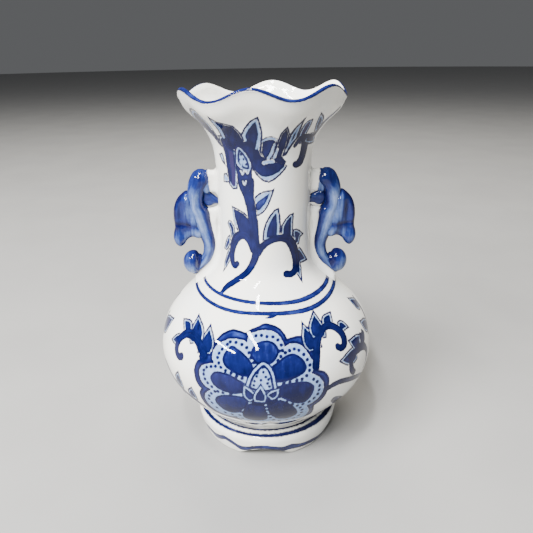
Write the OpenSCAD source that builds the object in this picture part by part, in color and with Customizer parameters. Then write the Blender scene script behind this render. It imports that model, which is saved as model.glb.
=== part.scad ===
// Glazed ceramic vase: pear-shaped body on a scalloped foot, ruffled mouth, two scroll handles.
// Origin: centre of the foot, on the table. +Z up, the front faces -Y, the handles lie on X.
// All lengths are in millimetres.

/* [Body] */
// Largest radius of the belly
belly_r = 77; // [74:0.5:79]
// Radius of the slender neck
neck_r = 31; // [30.5:0.1:31.5]
// Thickness of the thrown wall, square to the surface
wall = 3.6; // [3:0.1:4]
// Height of the stepped lap where two thrown pieces meet
lap_h = 1.5; // [1:0.1:2]

/* [Mouth] */
// Mean height of the lip
lip_z = 245.2; // [244:0.1:246]
// Mean radius of the lip
lip_r = 50.4; // [50:0.2:52]
// How much further the lip reaches at the sides, and less at the front and back
lip_oval = 1.8; // [0:0.1:3]
// How much the lip rises to its higher side
lip_tilt = 1.1; // [0:0.1:2]
// Azimuth of the lip's higher side
tilt_turn = 42; // [0:1:90]
// Number of soft ruffles round the lip
ruffles = 6; // [4:1:8]
// Half the height between a ruffle's peak and its valley
ruffle_h = 3.4; // [1:0.1:4]
// Azimuth of one ruffle peak, from the front towards +X
ruffle_turn = -8; // [-30:1:30]
// Thickness of the lip
lip_t = 2.8; // [2:0.1:3.4]

/* [Foot] */
// Height of the crease between the foot and the belly
foot_h = 22; // [21:0.5:23]
// Outer radius of the foot on the table
foot_r = 50.2; // [49:0.2:51]
// Number of shallow arches cut in the foot
arches = 4; // [3:1:6]
// Height of one arch
arch_h = 8; // [2:0.1:9]
// Width of one arch
arch_w = 36; // [16:1:40]
// Azimuth of one arch, from the front towards +X
arch_turn = -2; // [-30:1:30]

/* [Handles] */
// Half the thickness of the hanging ear
ear_half = 3; // [2.4:0.1:3.2]
// Half the thickness of the web, the stub and the tusk
web_half = 3; // [2.4:0.1:3.2]

/* [Hidden] */

$fn = 120;
row_h = 3;            // spacing of the rows along a thrown curve

// Heights of the joints between the thrown pieces
belly_joint = 72;
neck_joint = 134;
mouth_joint = 212;

// Floor of the vase: underside, and top at the centre
floor_under = 16;
floor_top = 21;
seat_r = 43;          // where the floor's underside turns up into the belly
foot_pad = 5.6;       // width of the foot's flat underside

// Stations [height, radius] of the outside of the body, bottom to top
BODY = [
    [foot_h, 0.617 * belly_r],
    [30, 0.705 * belly_r],
    [38, 0.799 * belly_r],
    [54, 0.947 * belly_r],
    [72, belly_r],
    [90, 0.952 * belly_r],
    [104, 0.836 * belly_r],
    [118, 0.647 * belly_r],
    [125, 1.330 * neck_r],
    [132, 1.126 * neck_r],
    [140, 1.030 * neck_r],
    [155, 0.996 * neck_r],
    [180, neck_r],
    [204, 1.016 * neck_r],
    [216, 0.662 * lip_r],
    [228, 0.773 * lip_r],
    [238, 0.932 * lip_r],
    [lip_z, lip_r]
];

// Stations [height, radius] of the outside of the foot
FOOT = [
    [0, foot_r],
    [5, foot_r + 1.6],
    [12, foot_r + 3.4],
    [18, foot_r + 3],
    [foot_h, 0.617 * belly_r]
];

// Ribs across the trunk, from the crown of the head to the tip of the scroll:
// [inner x, inner z, outer x, outer z, half thickness]
TRUNK = [
    [40.4, 198.4, 43.6, 198.4, 2.4],
    [37.0, 196.6, 47.0, 196.2, 5.0],
    [35.3, 193.6, 49.6, 191.8, 6.4],
    [35.3, 189.4, 51.1, 187.4, 6.6],
    [41.2, 184.8, 51.7, 183.0, 6.6],
    [41.4, 179.0, 51.6, 177.0, 6.6],
    [40.2, 174.4, 50.8, 171.0, 6.6],
    [37.6, 171.0, 49.9, 166.5, 6.5],
    [36.2, 164.5, 48.7, 161.8, 6.3],
    [35.6, 157.0, 47.0, 156.4, 6.0],
    [35.0, 150.5, 44.6, 150.4, 5.7],
    [35.3, 144.5, 43.0, 145.4, 5.4],
    [37.3, 138.2, 43.4, 140.2, 5.2],
    [40.7, 132.6, 45.3, 135.2, 5.0],
    [44.8, 127.6, 47.8, 130.2, 4.8],
    [48.8, 124.0, 50.4, 126.4, 4.4],
    [51.6, 123.2, 52.0, 124.4, 3.0]
];
steps = 3;            // rings between neighbouring ribs
EAR_TOP = 4;          // the ear hangs between these two ribs
EAR_END = 10;
WEB_TOP = 7;          // the web backs the trunk between these two ribs
WEB_END = 15;
// Section across a rib: [place from -1 inside to 1 outside, part of the half thickness]
SECTION = [
    [1, -0.5], [1, 0.5], [0.93, 0.76], [0.75, 0.93], [0.4, 1], [-0.4, 1], [-0.75, 0.93], [-0.93, 0.76],
    [-1, 0.5], [-1, -0.5], [-0.93, -0.76], [-0.75, -0.93], [-0.4, -1], [0.4, -1], [0.75, -0.93],
    [0.93, -0.76]
];
// Free edge of the ear [x, z], from the inner end of its hem round to its top
EAR_EDGE = [
    [44.6, 150.4], [50, 151], [53.6, 149.2], [56, 145.8], [59, 144], [62, 146.2], [63.4, 150.6],
    [62.9, 154.8], [61.9, 159], [62.2, 166], [61.4, 172.6], [59.2, 178], [55.6, 182], [51.7, 183]
];
CURL_CENTRE = [51, 132.4];
CURL_RX = 7;
CURL_RZ = 8.4;

// Slope of a list of stations at station i
function slope(p, i) =
    let (a = max(i - 1, 0), b = min(i + 1, len(p) - 1))
    (p[b][1] - p[a][1]) / (p[b][0] - p[a][0]);

// Number of the span that holds height z
function span(p, z) = max([for (i = [0:len(p) - 2]) if (i == 0 || z >= p[i][0]) i]);

// Radius of a smooth curve through the stations, at height z
function radius(p, z) =
    let (
        i = span(p, z),
        h = p[i + 1][0] - p[i][0],
        u = (z - p[i][0]) / h,
        v = 1 - u
    )
    v * v * (1 + 2 * u) * p[i][1] + u * v * v * h * slope(p, i)
    + u * u * (3 - 2 * u) * p[i + 1][1] - u * u * v * h * slope(p, i + 1);

function body_r(z) = radius(BODY, z);

// Inner radius, a wall's thickness square to the outside
function inner_r(z, t = wall) =
    let (lean = (body_r(min(z + 0.5, lip_z)) - body_r(z - 0.5)) / (min(z + 0.5, lip_z) - z + 0.5))
    body_r(z) - t * sqrt(1 + lean * lean);

// Radius of the step in the lap joint at height z
function lap_r(z) = (body_r(z) + inner_r(z)) / 2;

// Heights from a to b, about row_h apart, both ends included
function rows(a, b) =
    let (n = ceil(abs(b - a) / row_h))
    [for (i = [0:n]) a + (b - a) * i / n];

function outside(a, b) = [for (z = rows(a, b)) [body_r(z), z]];
function inside(a, b) = [for (z = rows(a, b)) [inner_r(z), z]];

// Point at t on the curve from b to c, which leaves b as if it came from a and aims past c at d
function curve(a, b, c, d, t) =
    0.5 * (2 * b + (c - a) * t + (2 * a - 5 * b + 4 * c - d) * t * t + (3 * b - a - 3 * c + d) * t * t * t);

// Smooth open line through all the points, with n steps between neighbours
function smooth(p, n = 3) =
    let (last = len(p) - 1)
    concat(
        [for (i = [0:last - 1]) for (k = [0:n - 1])
            curve(p[max(i - 1, 0)], p[i], p[i + 1], p[min(i + 2, last)], k / n)],
        [p[last]]
    );

function backwards(p) = [for (i = [len(p) - 1:-1:0]) p[i]];

trunk_rings = smooth(TRUNK, steps);

// Seam points [x, z] along the inner or the outer edge of the trunk, from rib a to rib b
function inner_seam(a, b) = [for (i = [a * steps:b * steps]) [trunk_rings[i][0], trunk_rings[i][1]]];
function outer_seam(a, b) = [for (i = [a * steps:b * steps]) [trunk_rings[i][2], trunk_rings[i][3]]];

trunk_outline = concat(outer_seam(0, len(TRUNK) - 1), backwards(inner_seam(0, len(TRUNK) - 1)));

// Flat plate of the given outline in the XZ plane, half thickness h
module flat_plate(outline, h) {
    rotate([90, 0, 0])
        translate([0, 0, -h])
            linear_extrude(2 * h)
                polygon(outline);
}

// Everything inside the body's outer surface between two heights, used to seat a handle on it
module body_solid(a, b) {
    rotate_extrude()
        polygon(concat([[0, a]], outside(a, b), [[0, b]]));
}

// Turned piece between two joints, with a stepped lap at each joint
module thrown_wall(a, b) {
    rotate_extrude()
        polygon(concat(
            outside(a, b),
            [[lap_r(b), b], [lap_r(b), b + lap_h]],
            inside(b + lap_h, a + lap_h),
            [[lap_r(a), a + lap_h], [lap_r(a), a]]
        ));
}

module foot_ring() {
    arch_r = (arch_w * arch_w / 4 + arch_h * arch_h) / (2 * arch_h);
    color("ivory")
        difference() {
            rotate_extrude()
                polygon(concat(
                    [for (z = rows(0, foot_h)) [radius(FOOT, z), z]],
                    [[seat_r, floor_under], [seat_r, floor_under - 2], [foot_r - foot_pad, 0]]
                ));
            for (k = [0:arches - 1])
                rotate([0, 0, arch_turn + k * 360 / arches])
                    translate([0, -foot_r + 15, arch_h - arch_r])
                        rotate([90, 0, 0])
                            cylinder(r = arch_r, h = 30);
        }
}

module lower_belly() {
    color("white")
        rotate_extrude()
            polygon(concat(
                [[0, floor_under], [seat_r, floor_under]],
                outside(foot_h, belly_joint),
                [[lap_r(belly_joint), belly_joint], [lap_r(belly_joint), belly_joint + lap_h]],
                inside(belly_joint + lap_h, foot_h + 8),
                [[42, floor_top + 3.2], [36, floor_top + 0.8], [28, floor_top], [0, floor_top]]
            ));
}

module upper_belly() {
    color("white")
        thrown_wall(belly_joint, neck_joint);
}

module neck() {
    color("white")
        thrown_wall(neck_joint, mouth_joint);
}

// How much of the lip's shape the mouth has at height z, from 0 below the flare to 1 at the lip
function flare(z) =
    let (t = min(max((z - 218) / (lip_z - 218), 0), 1))
    t * t * (3 - 2 * t);

// How far a point of the mouth at height z rises with the ruffles and the tilt at azimuth a
function ruffle(z, a) =
    flare(z) * (ruffle_h * cos(ruffles * (a - ruffle_turn)) + lip_tilt * cos(a - tilt_turn));

// How far a point of the mouth at height z moves outwards at azimuth a
function oval(z, a) = -flare(z) * lip_oval * cos(2 * a);

module ruffled_mouth() {
    columns = 72;
    // The wall thins from the joint to the lip, and the lip is a half round
    function mouth_t(z) = wall + (lip_t - wall) * (z - mouth_joint) / (lip_z - mouth_joint);
    lip_lean = 52;    // angle of the wall at the lip from the vertical
    lip_mid = [body_r(lip_z) - lip_t / 2 * cos(lip_lean), lip_z + lip_t / 2 * sin(lip_lean)];
    section = concat(
        outside(mouth_joint, lip_z),
        [for (k = [1:4])
            lip_mid + lip_t / 2 * [cos(k * 36 - lip_lean), sin(k * 36 - lip_lean)]],
        [for (z = rows(lip_z, mouth_joint + row_h)) [inner_r(z, mouth_t(z)), z]],
        [[inner_r(mouth_joint), mouth_joint]]
    );
    m = len(section);
    points = [for (c = [0:columns - 1]) for (p = section)
        let (a = c * 360 / columns, r = p[0] + oval(p[1], a))
        [r * sin(a), -r * cos(a), p[1] + ruffle(p[1], a)]];
    faces = [for (c = [0:columns - 1]) for (i = [0:m - 1])
        let (
            d = (c + 1) % columns,
            j = (i + 1) % m,
            q = [c * m + i, c * m + j, d * m + j, d * m + i]
        )
        each [[q[0], q[1], q[2]], [q[0], q[2], q[3]]]];
    color("white")
        difference() {
            polyhedron(points, faces);
            translate([0, 0, mouth_joint - 1])
                cylinder(r = lap_r(mouth_joint), h = lap_h + 1);
        }
}

// Bridge from the neck to the back of the head, with the lobe that hangs inside the slit
module stub() {
    color("white")
        difference() {
            flat_plate(concat(inner_seam(2, 4), [[40.4, 183.4], [36.2, 182.4], [24, 182.4], [24, 196]]), web_half);
            body_solid(175, 205);
            flat_plate(trunk_outline, web_half + 1);
        }
}

// Web that backs the trunk onto the neck and the shoulder
module web() {
    color("white")
        difference() {
            flat_plate(concat(inner_seam(WEB_TOP, WEB_END), [[48.8, 114], [44, 114], [28, 126], [28, 171]]), web_half);
            body_solid(105, 180);
        }
}

module trunk() {
    m = len(SECTION);
    last = len(trunk_rings) - 1;
    points = [for (r = trunk_rings) for (s = SECTION)
        [(r[0] + r[2]) / 2 + s[0] * (r[2] - r[0]) / 2,
         s[1] * r[4],
         (r[1] + r[3]) / 2 + s[0] * (r[3] - r[1]) / 2]];
    sides = [for (k = [0:last - 1]) for (i = [0:m - 1])
        let (a = k * m + i, b = k * m + (i + 1) % m)
        each [[a, b, b + m], [a, b + m, a + m]]];
    crown = [for (i = [m - 1:-1:0]) i];
    tip = [for (i = [0:m - 1]) last * m + i];
    color("royalblue")
        polyhedron(points, concat([crown, tip], sides));
}

// Hanging ear, a plate that thins towards its free edge
module ear() {
    color("cornflowerblue")
        intersection() {
            flat_plate(concat(smooth(EAR_EDGE), outer_seam(EAR_TOP, EAR_END)), ear_half);
            linear_extrude(200)
                polygon([
                    [40, -ear_half], [55, -ear_half], [60, -0.8 * ear_half], [65, -0.2 * ear_half],
                    [65, 0.2 * ear_half], [60, 0.8 * ear_half], [55, ear_half], [40, ear_half]
                ]);
        }
}

// Ball at the rolled end, seated in the crook of the trunk
module curl() {
    arcs = 16;
    color("mediumblue")
        difference() {
            translate([CURL_CENTRE[0], 0, CURL_CENTRE[1]])
                rotate_extrude($fn = 48)
                    polygon([for (k = [0:arcs])
                        let (a = 180 * k / arcs - 90)
                        [CURL_RX * cos(a), CURL_RZ * sin(a)]]);
            flat_plate(trunk_outline, 10);
        }
}

// Short tab under the head that reaches from the lobe to the neck
module tusk(tip_z) {
    color("darkblue")
        difference() {
            flat_plate([
                [40.4, 175.6], [40.4, 183.4], [36.2, 182.4], [33, 182.4], [24, tip_z], [24, 172.8], [37, 172.8]
            ], web_half - 0.6);
            body_solid(165, 190);
        }
}

foot_ring();
lower_belly();
upper_belly();
neck();
ruffled_mouth();
mirror([1, 0, 0]) stub();  // stub_left
stub();  // stub_right
mirror([1, 0, 0]) web();  // web_left
web();  // web_right
mirror([1, 0, 0]) trunk();  // trunk_left
trunk();  // trunk_right
mirror([1, 0, 0]) ear();  // ear_left
ear();  // ear_right
mirror([1, 0, 0]) curl();  // curl_left
curl();  // curl_right
mirror([1, 0, 0]) tusk(178.6);  // tusk_left
tusk(180.4);  // tusk_right
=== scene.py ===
import math

import bpy
import numpy as np
from mathutils import Matrix, Vector

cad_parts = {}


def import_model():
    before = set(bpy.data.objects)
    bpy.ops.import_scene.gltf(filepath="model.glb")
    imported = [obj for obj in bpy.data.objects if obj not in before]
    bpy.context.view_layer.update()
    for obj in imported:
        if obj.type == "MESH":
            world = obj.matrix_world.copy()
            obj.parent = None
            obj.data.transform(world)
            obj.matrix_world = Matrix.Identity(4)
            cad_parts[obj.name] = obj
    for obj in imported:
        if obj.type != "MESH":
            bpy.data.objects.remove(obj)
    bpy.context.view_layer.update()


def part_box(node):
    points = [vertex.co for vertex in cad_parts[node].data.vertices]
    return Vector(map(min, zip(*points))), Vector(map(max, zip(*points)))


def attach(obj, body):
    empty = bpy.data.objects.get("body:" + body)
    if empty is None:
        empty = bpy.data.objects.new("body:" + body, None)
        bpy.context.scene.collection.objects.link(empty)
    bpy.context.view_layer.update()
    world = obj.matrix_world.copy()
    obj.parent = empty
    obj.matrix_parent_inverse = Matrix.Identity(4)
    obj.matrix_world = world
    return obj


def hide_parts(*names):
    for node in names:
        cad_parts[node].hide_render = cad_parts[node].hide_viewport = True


# Lengths are in millimetres until a mesh is made. Azimuth is in degrees: 0 faces the viewer (-Y), 90 is +X.
MM = 0.001
FAR = 9.0             # signed distance where nothing is painted

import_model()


# ---------------------------------------------------------------- body measures, from the frame

def corners(node):
    low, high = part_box(node)
    return np.array(low) / MM, np.array(high) / MM


FOOT_H = 22.0
BELLY_JOINT = corners("upper_belly")[0][2]
NECK_JOINT = corners("neck")[0][2]
MOUTH_JOINT = corners("ruffled_mouth")[0][2]
BELLY_R = corners("upper_belly")[1][0]
LIP_RISE = 6.92       # from the end of the outer profile to the top of the highest ruffle
LIP_Z = corners("ruffled_mouth")[1][2] - LIP_RISE
FLARE_Z = 218.0       # where the ruffles begin
LIP_R = 50.4
LIP_OVAL = 1.8
LIP_TILT = 1.1
TILT_TURN = 42.0
NECK_R = 31.0
FOOT_R = 50.2
WALL = 3.6
LIP_T = 2.8
RUFFLES = 6
RUFFLE_H = 3.4
RUFFLE_TURN = -8.0
ARCHES = 4
ARCH_TURN = -2.0
ARCH_H = 8.6
ARCH_HALF = 22.0      # degrees
SEAT_R = 43.0
FLOOR_UNDER = 16.0
LAP_H = 1.5           # height of the step where two thrown pieces meet
STEP = 0.75           # spacing of the rows on a painted wall
LIP_LEAN = 52.0       # degrees from upright that the wall leans at the lip
PAD_W = 5.6           # width of the ring that stands on the table, with its rounded edges
SINK = 0.35           # handles blend with a copy of the body that lies this far inside it
ROOT_DEPTH = 1.1      # how far past that copy the handles' roots go

BODY = np.array([
    (FOOT_H, 0.617 * BELLY_R), (30, 0.705 * BELLY_R), (38, 0.799 * BELLY_R), (54, 0.947 * BELLY_R),
    (72, BELLY_R), (90, 0.952 * BELLY_R), (104, 0.836 * BELLY_R), (118, 0.647 * BELLY_R),
    (125, 1.330 * NECK_R), (132, 1.126 * NECK_R), (140, 1.030 * NECK_R), (155, 0.996 * NECK_R),
    (180, NECK_R), (204, 1.016 * NECK_R), (216, 0.662 * LIP_R), (228, 0.773 * LIP_R),
    (238, 0.932 * LIP_R), (LIP_Z, LIP_R)])
FOOT = np.array([(0, FOOT_R), (5, FOOT_R + 1.6), (12, FOOT_R + 3.4), (18, FOOT_R + 3),
                 (FOOT_H, 0.617 * BELLY_R)])


def radius(stations, z):
    """Radius of the smooth curve through the stations, at heights z."""
    h, r = stations[:, 0], stations[:, 1]
    n = len(h)
    slope = np.empty(n)
    for i in range(n):
        a, b = max(i - 1, 0), min(i + 1, n - 1)
        slope[i] = (r[b] - r[a]) / (h[b] - h[a])
    i = np.clip(np.searchsorted(h, z, side="right") - 1, 0, n - 2)
    d = h[i + 1] - h[i]
    u = (z - h[i]) / d
    v = 1 - u
    return (v * v * (1 + 2 * u) * r[i] + u * v * v * d * slope[i]
            + u * u * (3 - 2 * u) * r[i + 1] - u * u * v * d * slope[i + 1])


def body_r(z):
    return radius(BODY, np.asarray(z, float))


def inner_r(z, t=WALL):
    z = np.asarray(z, float)
    up = np.minimum(z + 0.5, LIP_Z)
    lean = (body_r(up) - body_r(z - 0.5)) / (up - z + 0.5)
    return body_r(z) - t * np.sqrt(1 + lean * lean)


def smoothstep(t):
    t = np.clip(t, 0, 1)
    return t * t * (3 - 2 * t)


def flare(z):
    """How much of the lip's shape the mouth has, from 0 below the flare to 1 at the lip."""
    return smoothstep((z - FLARE_Z) / (LIP_Z - FLARE_Z))


def ruffle(z, a):
    """How far a point of the mouth rises with the ruffles and the tilt of the lip."""
    return flare(z) * (RUFFLE_H * np.cos(np.radians(RUFFLES * (a - RUFFLE_TURN)))
                       + LIP_TILT * np.cos(np.radians(a - TILT_TURN)))


def oval(z, a):
    """How far a point of the mouth moves outwards."""
    return -flare(z) * LIP_OVAL * np.cos(np.radians(2 * a))


# ---------------------------------------------------------------- meshes

def make_mesh(name, points, quads, tris=None, normals=None, floats=None, vectors=None):
    """A closed mesh object from arrays in millimetres, with its own smooth normals and painted attributes."""
    mesh = bpy.data.meshes.new(name)
    tris = np.zeros((0, 3), int) if tris is None else tris
    n_loops = quads.size + tris.size
    mesh.vertices.add(len(points))
    mesh.loops.add(n_loops)
    mesh.polygons.add(len(quads) + len(tris))
    mesh.vertices.foreach_set("co", (points * MM).astype(np.float32).ravel())
    mesh.loops.foreach_set("vertex_index", np.concatenate([quads.ravel(), tris.ravel()]).astype(np.int32))
    starts = np.concatenate([np.arange(len(quads)) * 4, quads.size + np.arange(len(tris)) * 3])
    mesh.polygons.foreach_set("loop_start", starts.astype(np.int32))
    mesh.update(calc_edges=True)
    mesh.polygons.foreach_set("use_smooth", np.ones(len(quads) + len(tris), bool))
    if normals is not None:
        mesh.normals_split_custom_set_from_vertices(normals.astype(np.float32))
    for key, values in (floats or {}).items():
        mesh.attributes.new(key, "FLOAT", "POINT").data.foreach_set("value", values.astype(np.float32))
    for key, values in (vectors or {}).items():
        mesh.attributes.new(key, "FLOAT_VECTOR", "POINT").data.foreach_set(
            "vector", values.astype(np.float32).ravel())
    piece = bpy.data.objects.new(name, mesh)
    bpy.context.scene.collection.objects.link(piece)
    return piece


def finish_piece(piece, material, node):
    piece.data.materials.append(material)
    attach(piece, "root")
    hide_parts(node)


class Turned:
    """A thrown piece: a section of [radius, height] points turned round the axis.

    The painted points are the count points of the section that start at index first.
    """

    first = 0
    curve = staticmethod(body_r)

    def __init__(self, name, painted, hidden, columns, closed=True, place=None):
        self.name, self.columns, self.closed = name, columns, closed
        self.section = np.array(list(painted) + list(hidden), float)
        self.count = len(painted)
        self.place = place or (lambda r, z, a: (r, z))
        self.az = np.arange(columns) * 360.0 / columns - 180
        r, z = self.section[:, 0], self.section[:, 1]
        self.rr, self.aa = np.meshgrid(r, self.az)
        self.rr, self.zz = self.place(self.rr, np.broadcast_to(z, self.rr.shape), self.aa)
        self.points = self.at(self.rr, self.zz, self.aa)

    @staticmethod
    def at(r, z, a):
        t = np.radians(a)
        return np.stack([r * np.sin(t), -r * np.cos(t), z], -1)

    def normals(self):
        """From the grid itself, with the ends of the painted wall taken from the curve beyond them."""
        p = self.points
        across = np.roll(p, -1, 0) - np.roll(p, 1, 0)
        along = np.roll(p, -1, 1) - np.roll(p, 1, 1)
        c = self.count
        if not self.closed:
            along[:, 0] = p[:, 1] - p[:, 0]
            along[:, -1] = p[:, -1] - p[:, -2]
        for i in (self.first, self.first + c - 1):
            z = self.section[i, 1]
            up = self.curve(z + 0.05) - self.curve(z - 0.05)
            t = np.radians(self.az)
            along[:, i] = np.stack([up * np.sin(t), -up * np.cos(t), np.full(len(t), 0.1)], -1)
        n = np.cross(across, along)
        n /= np.linalg.norm(n, axis=-1, keepdims=True) + 1e-12
        return n

    def build(self, floats, vectors):
        n, m = self.columns, len(self.section)
        grid = np.arange(n * m).reshape(n, m)
        nxt = np.roll(grid, -1, 0)
        if self.closed:
            up, nup = np.roll(grid, -1, 1), np.roll(nxt, -1, 1)
            quads = np.stack([grid, nxt, nup, up], -1).reshape(-1, 4)
            tris = None
            points, normals = self.points.reshape(-1, 3), self.normals().reshape(-1, 3)
        else:
            quads = np.stack([grid[:, :-1], nxt[:, :-1], nxt[:, 1:], grid[:, 1:]], -1).reshape(-1, 4)
            poles = np.array([[0, 0, self.section[0, 1]], [0, 0, self.section[-1, 1]]])
            low, high = n * m, n * m + 1
            tris = np.concatenate([
                np.stack([np.full(n, low), nxt[:, 0], grid[:, 0]], -1),
                np.stack([np.full(n, high), grid[:, -1], nxt[:, -1]], -1)])
            points = np.concatenate([self.points.reshape(-1, 3), poles])
            normals = np.concatenate([self.normals().reshape(-1, 3), [[0, 0, -1], [0, 0, 1]]])
            floats = {k: np.concatenate([v, [FAR, FAR]]) for k, v in floats.items()}
            vectors = {k: np.concatenate([v, np.zeros((2, 3))]) for k, v in vectors.items()}
        return make_mesh(self.name, points, quads, tris, normals, floats, vectors)


def heights(a, b, step):
    return np.linspace(a, b, max(2, int(round(abs(b - a) / step)) + 1))


def wall_rows(a, b, step):
    """Heights from a to b, evenly spaced along the curve."""
    z = np.linspace(a, b, 400)
    s = np.concatenate([[0], np.cumsum(np.hypot(np.diff(z), np.diff(body_r(z))))])
    return np.interp(np.linspace(0, s[-1], int(round(s[-1] / step)) + 1), s, z)


def ring(z, r):
    return np.stack([r, z], -1)


def lap_r(z):
    return float((body_r(z) + inner_r(z)) / 2)


def upper_wall(name, a, b, columns):
    z = wall_rows(a, b, STEP)
    inside = heights(b + LAP_H, a + LAP_H, 2.5)
    hidden = [(lap_r(b), b), (lap_r(b), b + LAP_H)] + list(ring(inside, inner_r(inside)))
    hidden += [(lap_r(a), a + LAP_H), (lap_r(a), a)]
    return Turned(name, ring(z, body_r(z)), hidden, columns)


def lower_bowl(name, columns):
    b = BELLY_JOINT
    z = wall_rows(FOOT_H, b, STEP)
    inside = heights(b + LAP_H, FOOT_H + 8, 2.5)
    under = [(6, FLOOR_UNDER), (24, FLOOR_UNDER), (SEAT_R - 0.4, FLOOR_UNDER), (SEAT_R, FLOOR_UNDER)]
    rest = [(lap_r(b), b), (lap_r(b), b + LAP_H)] + list(ring(inside, inner_r(inside)))
    rest += [(45, 26.5), (42, 24.2), (36, 21.8), (28, 21), (14, 21), (6, 21)]
    piece = Turned(name, list(under) + list(ring(z, body_r(z))), rest, columns, closed=False)
    piece.first, piece.count = len(under), len(z)
    return piece


def arch(a):
    """How far the foot's lower edge rises off the table at azimuth a."""
    period = 360 / ARCHES
    u = ((a - ARCH_TURN + period / 2) % period - period / 2) / ARCH_HALF
    return ARCH_H * np.clip(1 - u * u, 0, 1) ** 1.25


def foot_place(r, z, a):
    up = z + arch(a) * np.clip(1 - z / FOOT_H, 0, 1) ** 1.5
    return np.where(r > SEAT_R + 2.5, r + foot_r(up) - foot_r(z), r), up


def foot_r(z):
    return radius(FOOT, np.asarray(z, float))


class Foot(Turned):
    curve = staticmethod(foot_r)


def foot_piece(name, columns):
    z = heights(0.9, FOOT_H, 0.6)
    pad = FOOT_R - PAD_W
    hidden = [(SEAT_R, FLOOR_UNDER), (SEAT_R, FLOOR_UNDER - 2), (44.0, 5), (pad, 0.8), (pad + 0.5, 0.15),
              (pad + 1.2, 0), (FOOT_R - 1.4, 0), (FOOT_R - 0.4, 0.2)]
    return Foot(name, ring(z, foot_r(z)), hidden, columns, place=foot_place)


def mouth_piece(name, columns):
    z = wall_rows(MOUTH_JOINT, LIP_Z, STEP)
    lean = math.radians(LIP_LEAN)
    mid = np.array([LIP_R - LIP_T / 2 * math.cos(lean), LIP_Z + LIP_T / 2 * math.sin(lean)])
    turn = np.radians(np.arange(1, 12) * 15) - lean
    lip = mid + LIP_T / 2 * np.stack([np.cos(turn), np.sin(turn)], -1)
    down = wall_rows(LIP_Z, MOUTH_JOINT + 3, 1.2)
    t = WALL + (LIP_T - WALL) * (down - MOUTH_JOINT) / (LIP_Z - MOUTH_JOINT)
    inside = ring(down, np.array([float(inner_r(h, k)) for h, k in zip(down, t)]))
    j = MOUTH_JOINT
    hidden = [(float(inner_r(j + LAP_H)), j + LAP_H), (lap_r(j), j + LAP_H), (lap_r(j), j)]
    piece = Turned(name, list(ring(z, body_r(z))) + list(lip) + list(inside), hidden, columns,
                   place=lambda r, h, a: (r + oval(h, a), h + ruffle(h, a)))
    piece.count = len(z)
    piece.lip_s = np.concatenate([[0], np.cumsum(np.hypot(*np.diff(piece.section, axis=0).T))])
    piece.lip_s -= piece.lip_s[len(z) + 5]
    return piece


TURNED = [
    foot_piece("foot_ring_glazed", 540),
    lower_bowl("lower_belly_painted", 640),
    upper_wall("upper_belly_painted", BELLY_JOINT, NECK_JOINT, 640),
    upper_wall("neck_painted", NECK_JOINT, MOUTH_JOINT, 320),
    mouth_piece("ruffled_mouth_painted", 480),
]


# ---------------------------------------------------------------- brush painting

def spline(points, n=6, closed=False):
    """Smooth line through the points, n steps between neighbours. Points may hold more than two values."""
    p = np.array(points, float)
    if closed:
        p = np.concatenate([p[-1:], p, p[:2]])
    else:
        p = np.concatenate([2 * p[:1] - p[1:2], p, 2 * p[-1:] - p[-2:-1]])
    t = np.arange(n)[:, None] / n
    rows = []
    for a, b, c, d in zip(p[:-3], p[1:-2], p[2:-1], p[3:]):
        rows.append(0.5 * (2 * b + (c - a) * t + (2 * a - 5 * b + 4 * c - d) * t * t
                           + (3 * b - a - 3 * c + d) * t ** 3))
    out = np.concatenate(rows)
    return out if closed else np.concatenate([out, p[-2:-1]])


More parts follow.
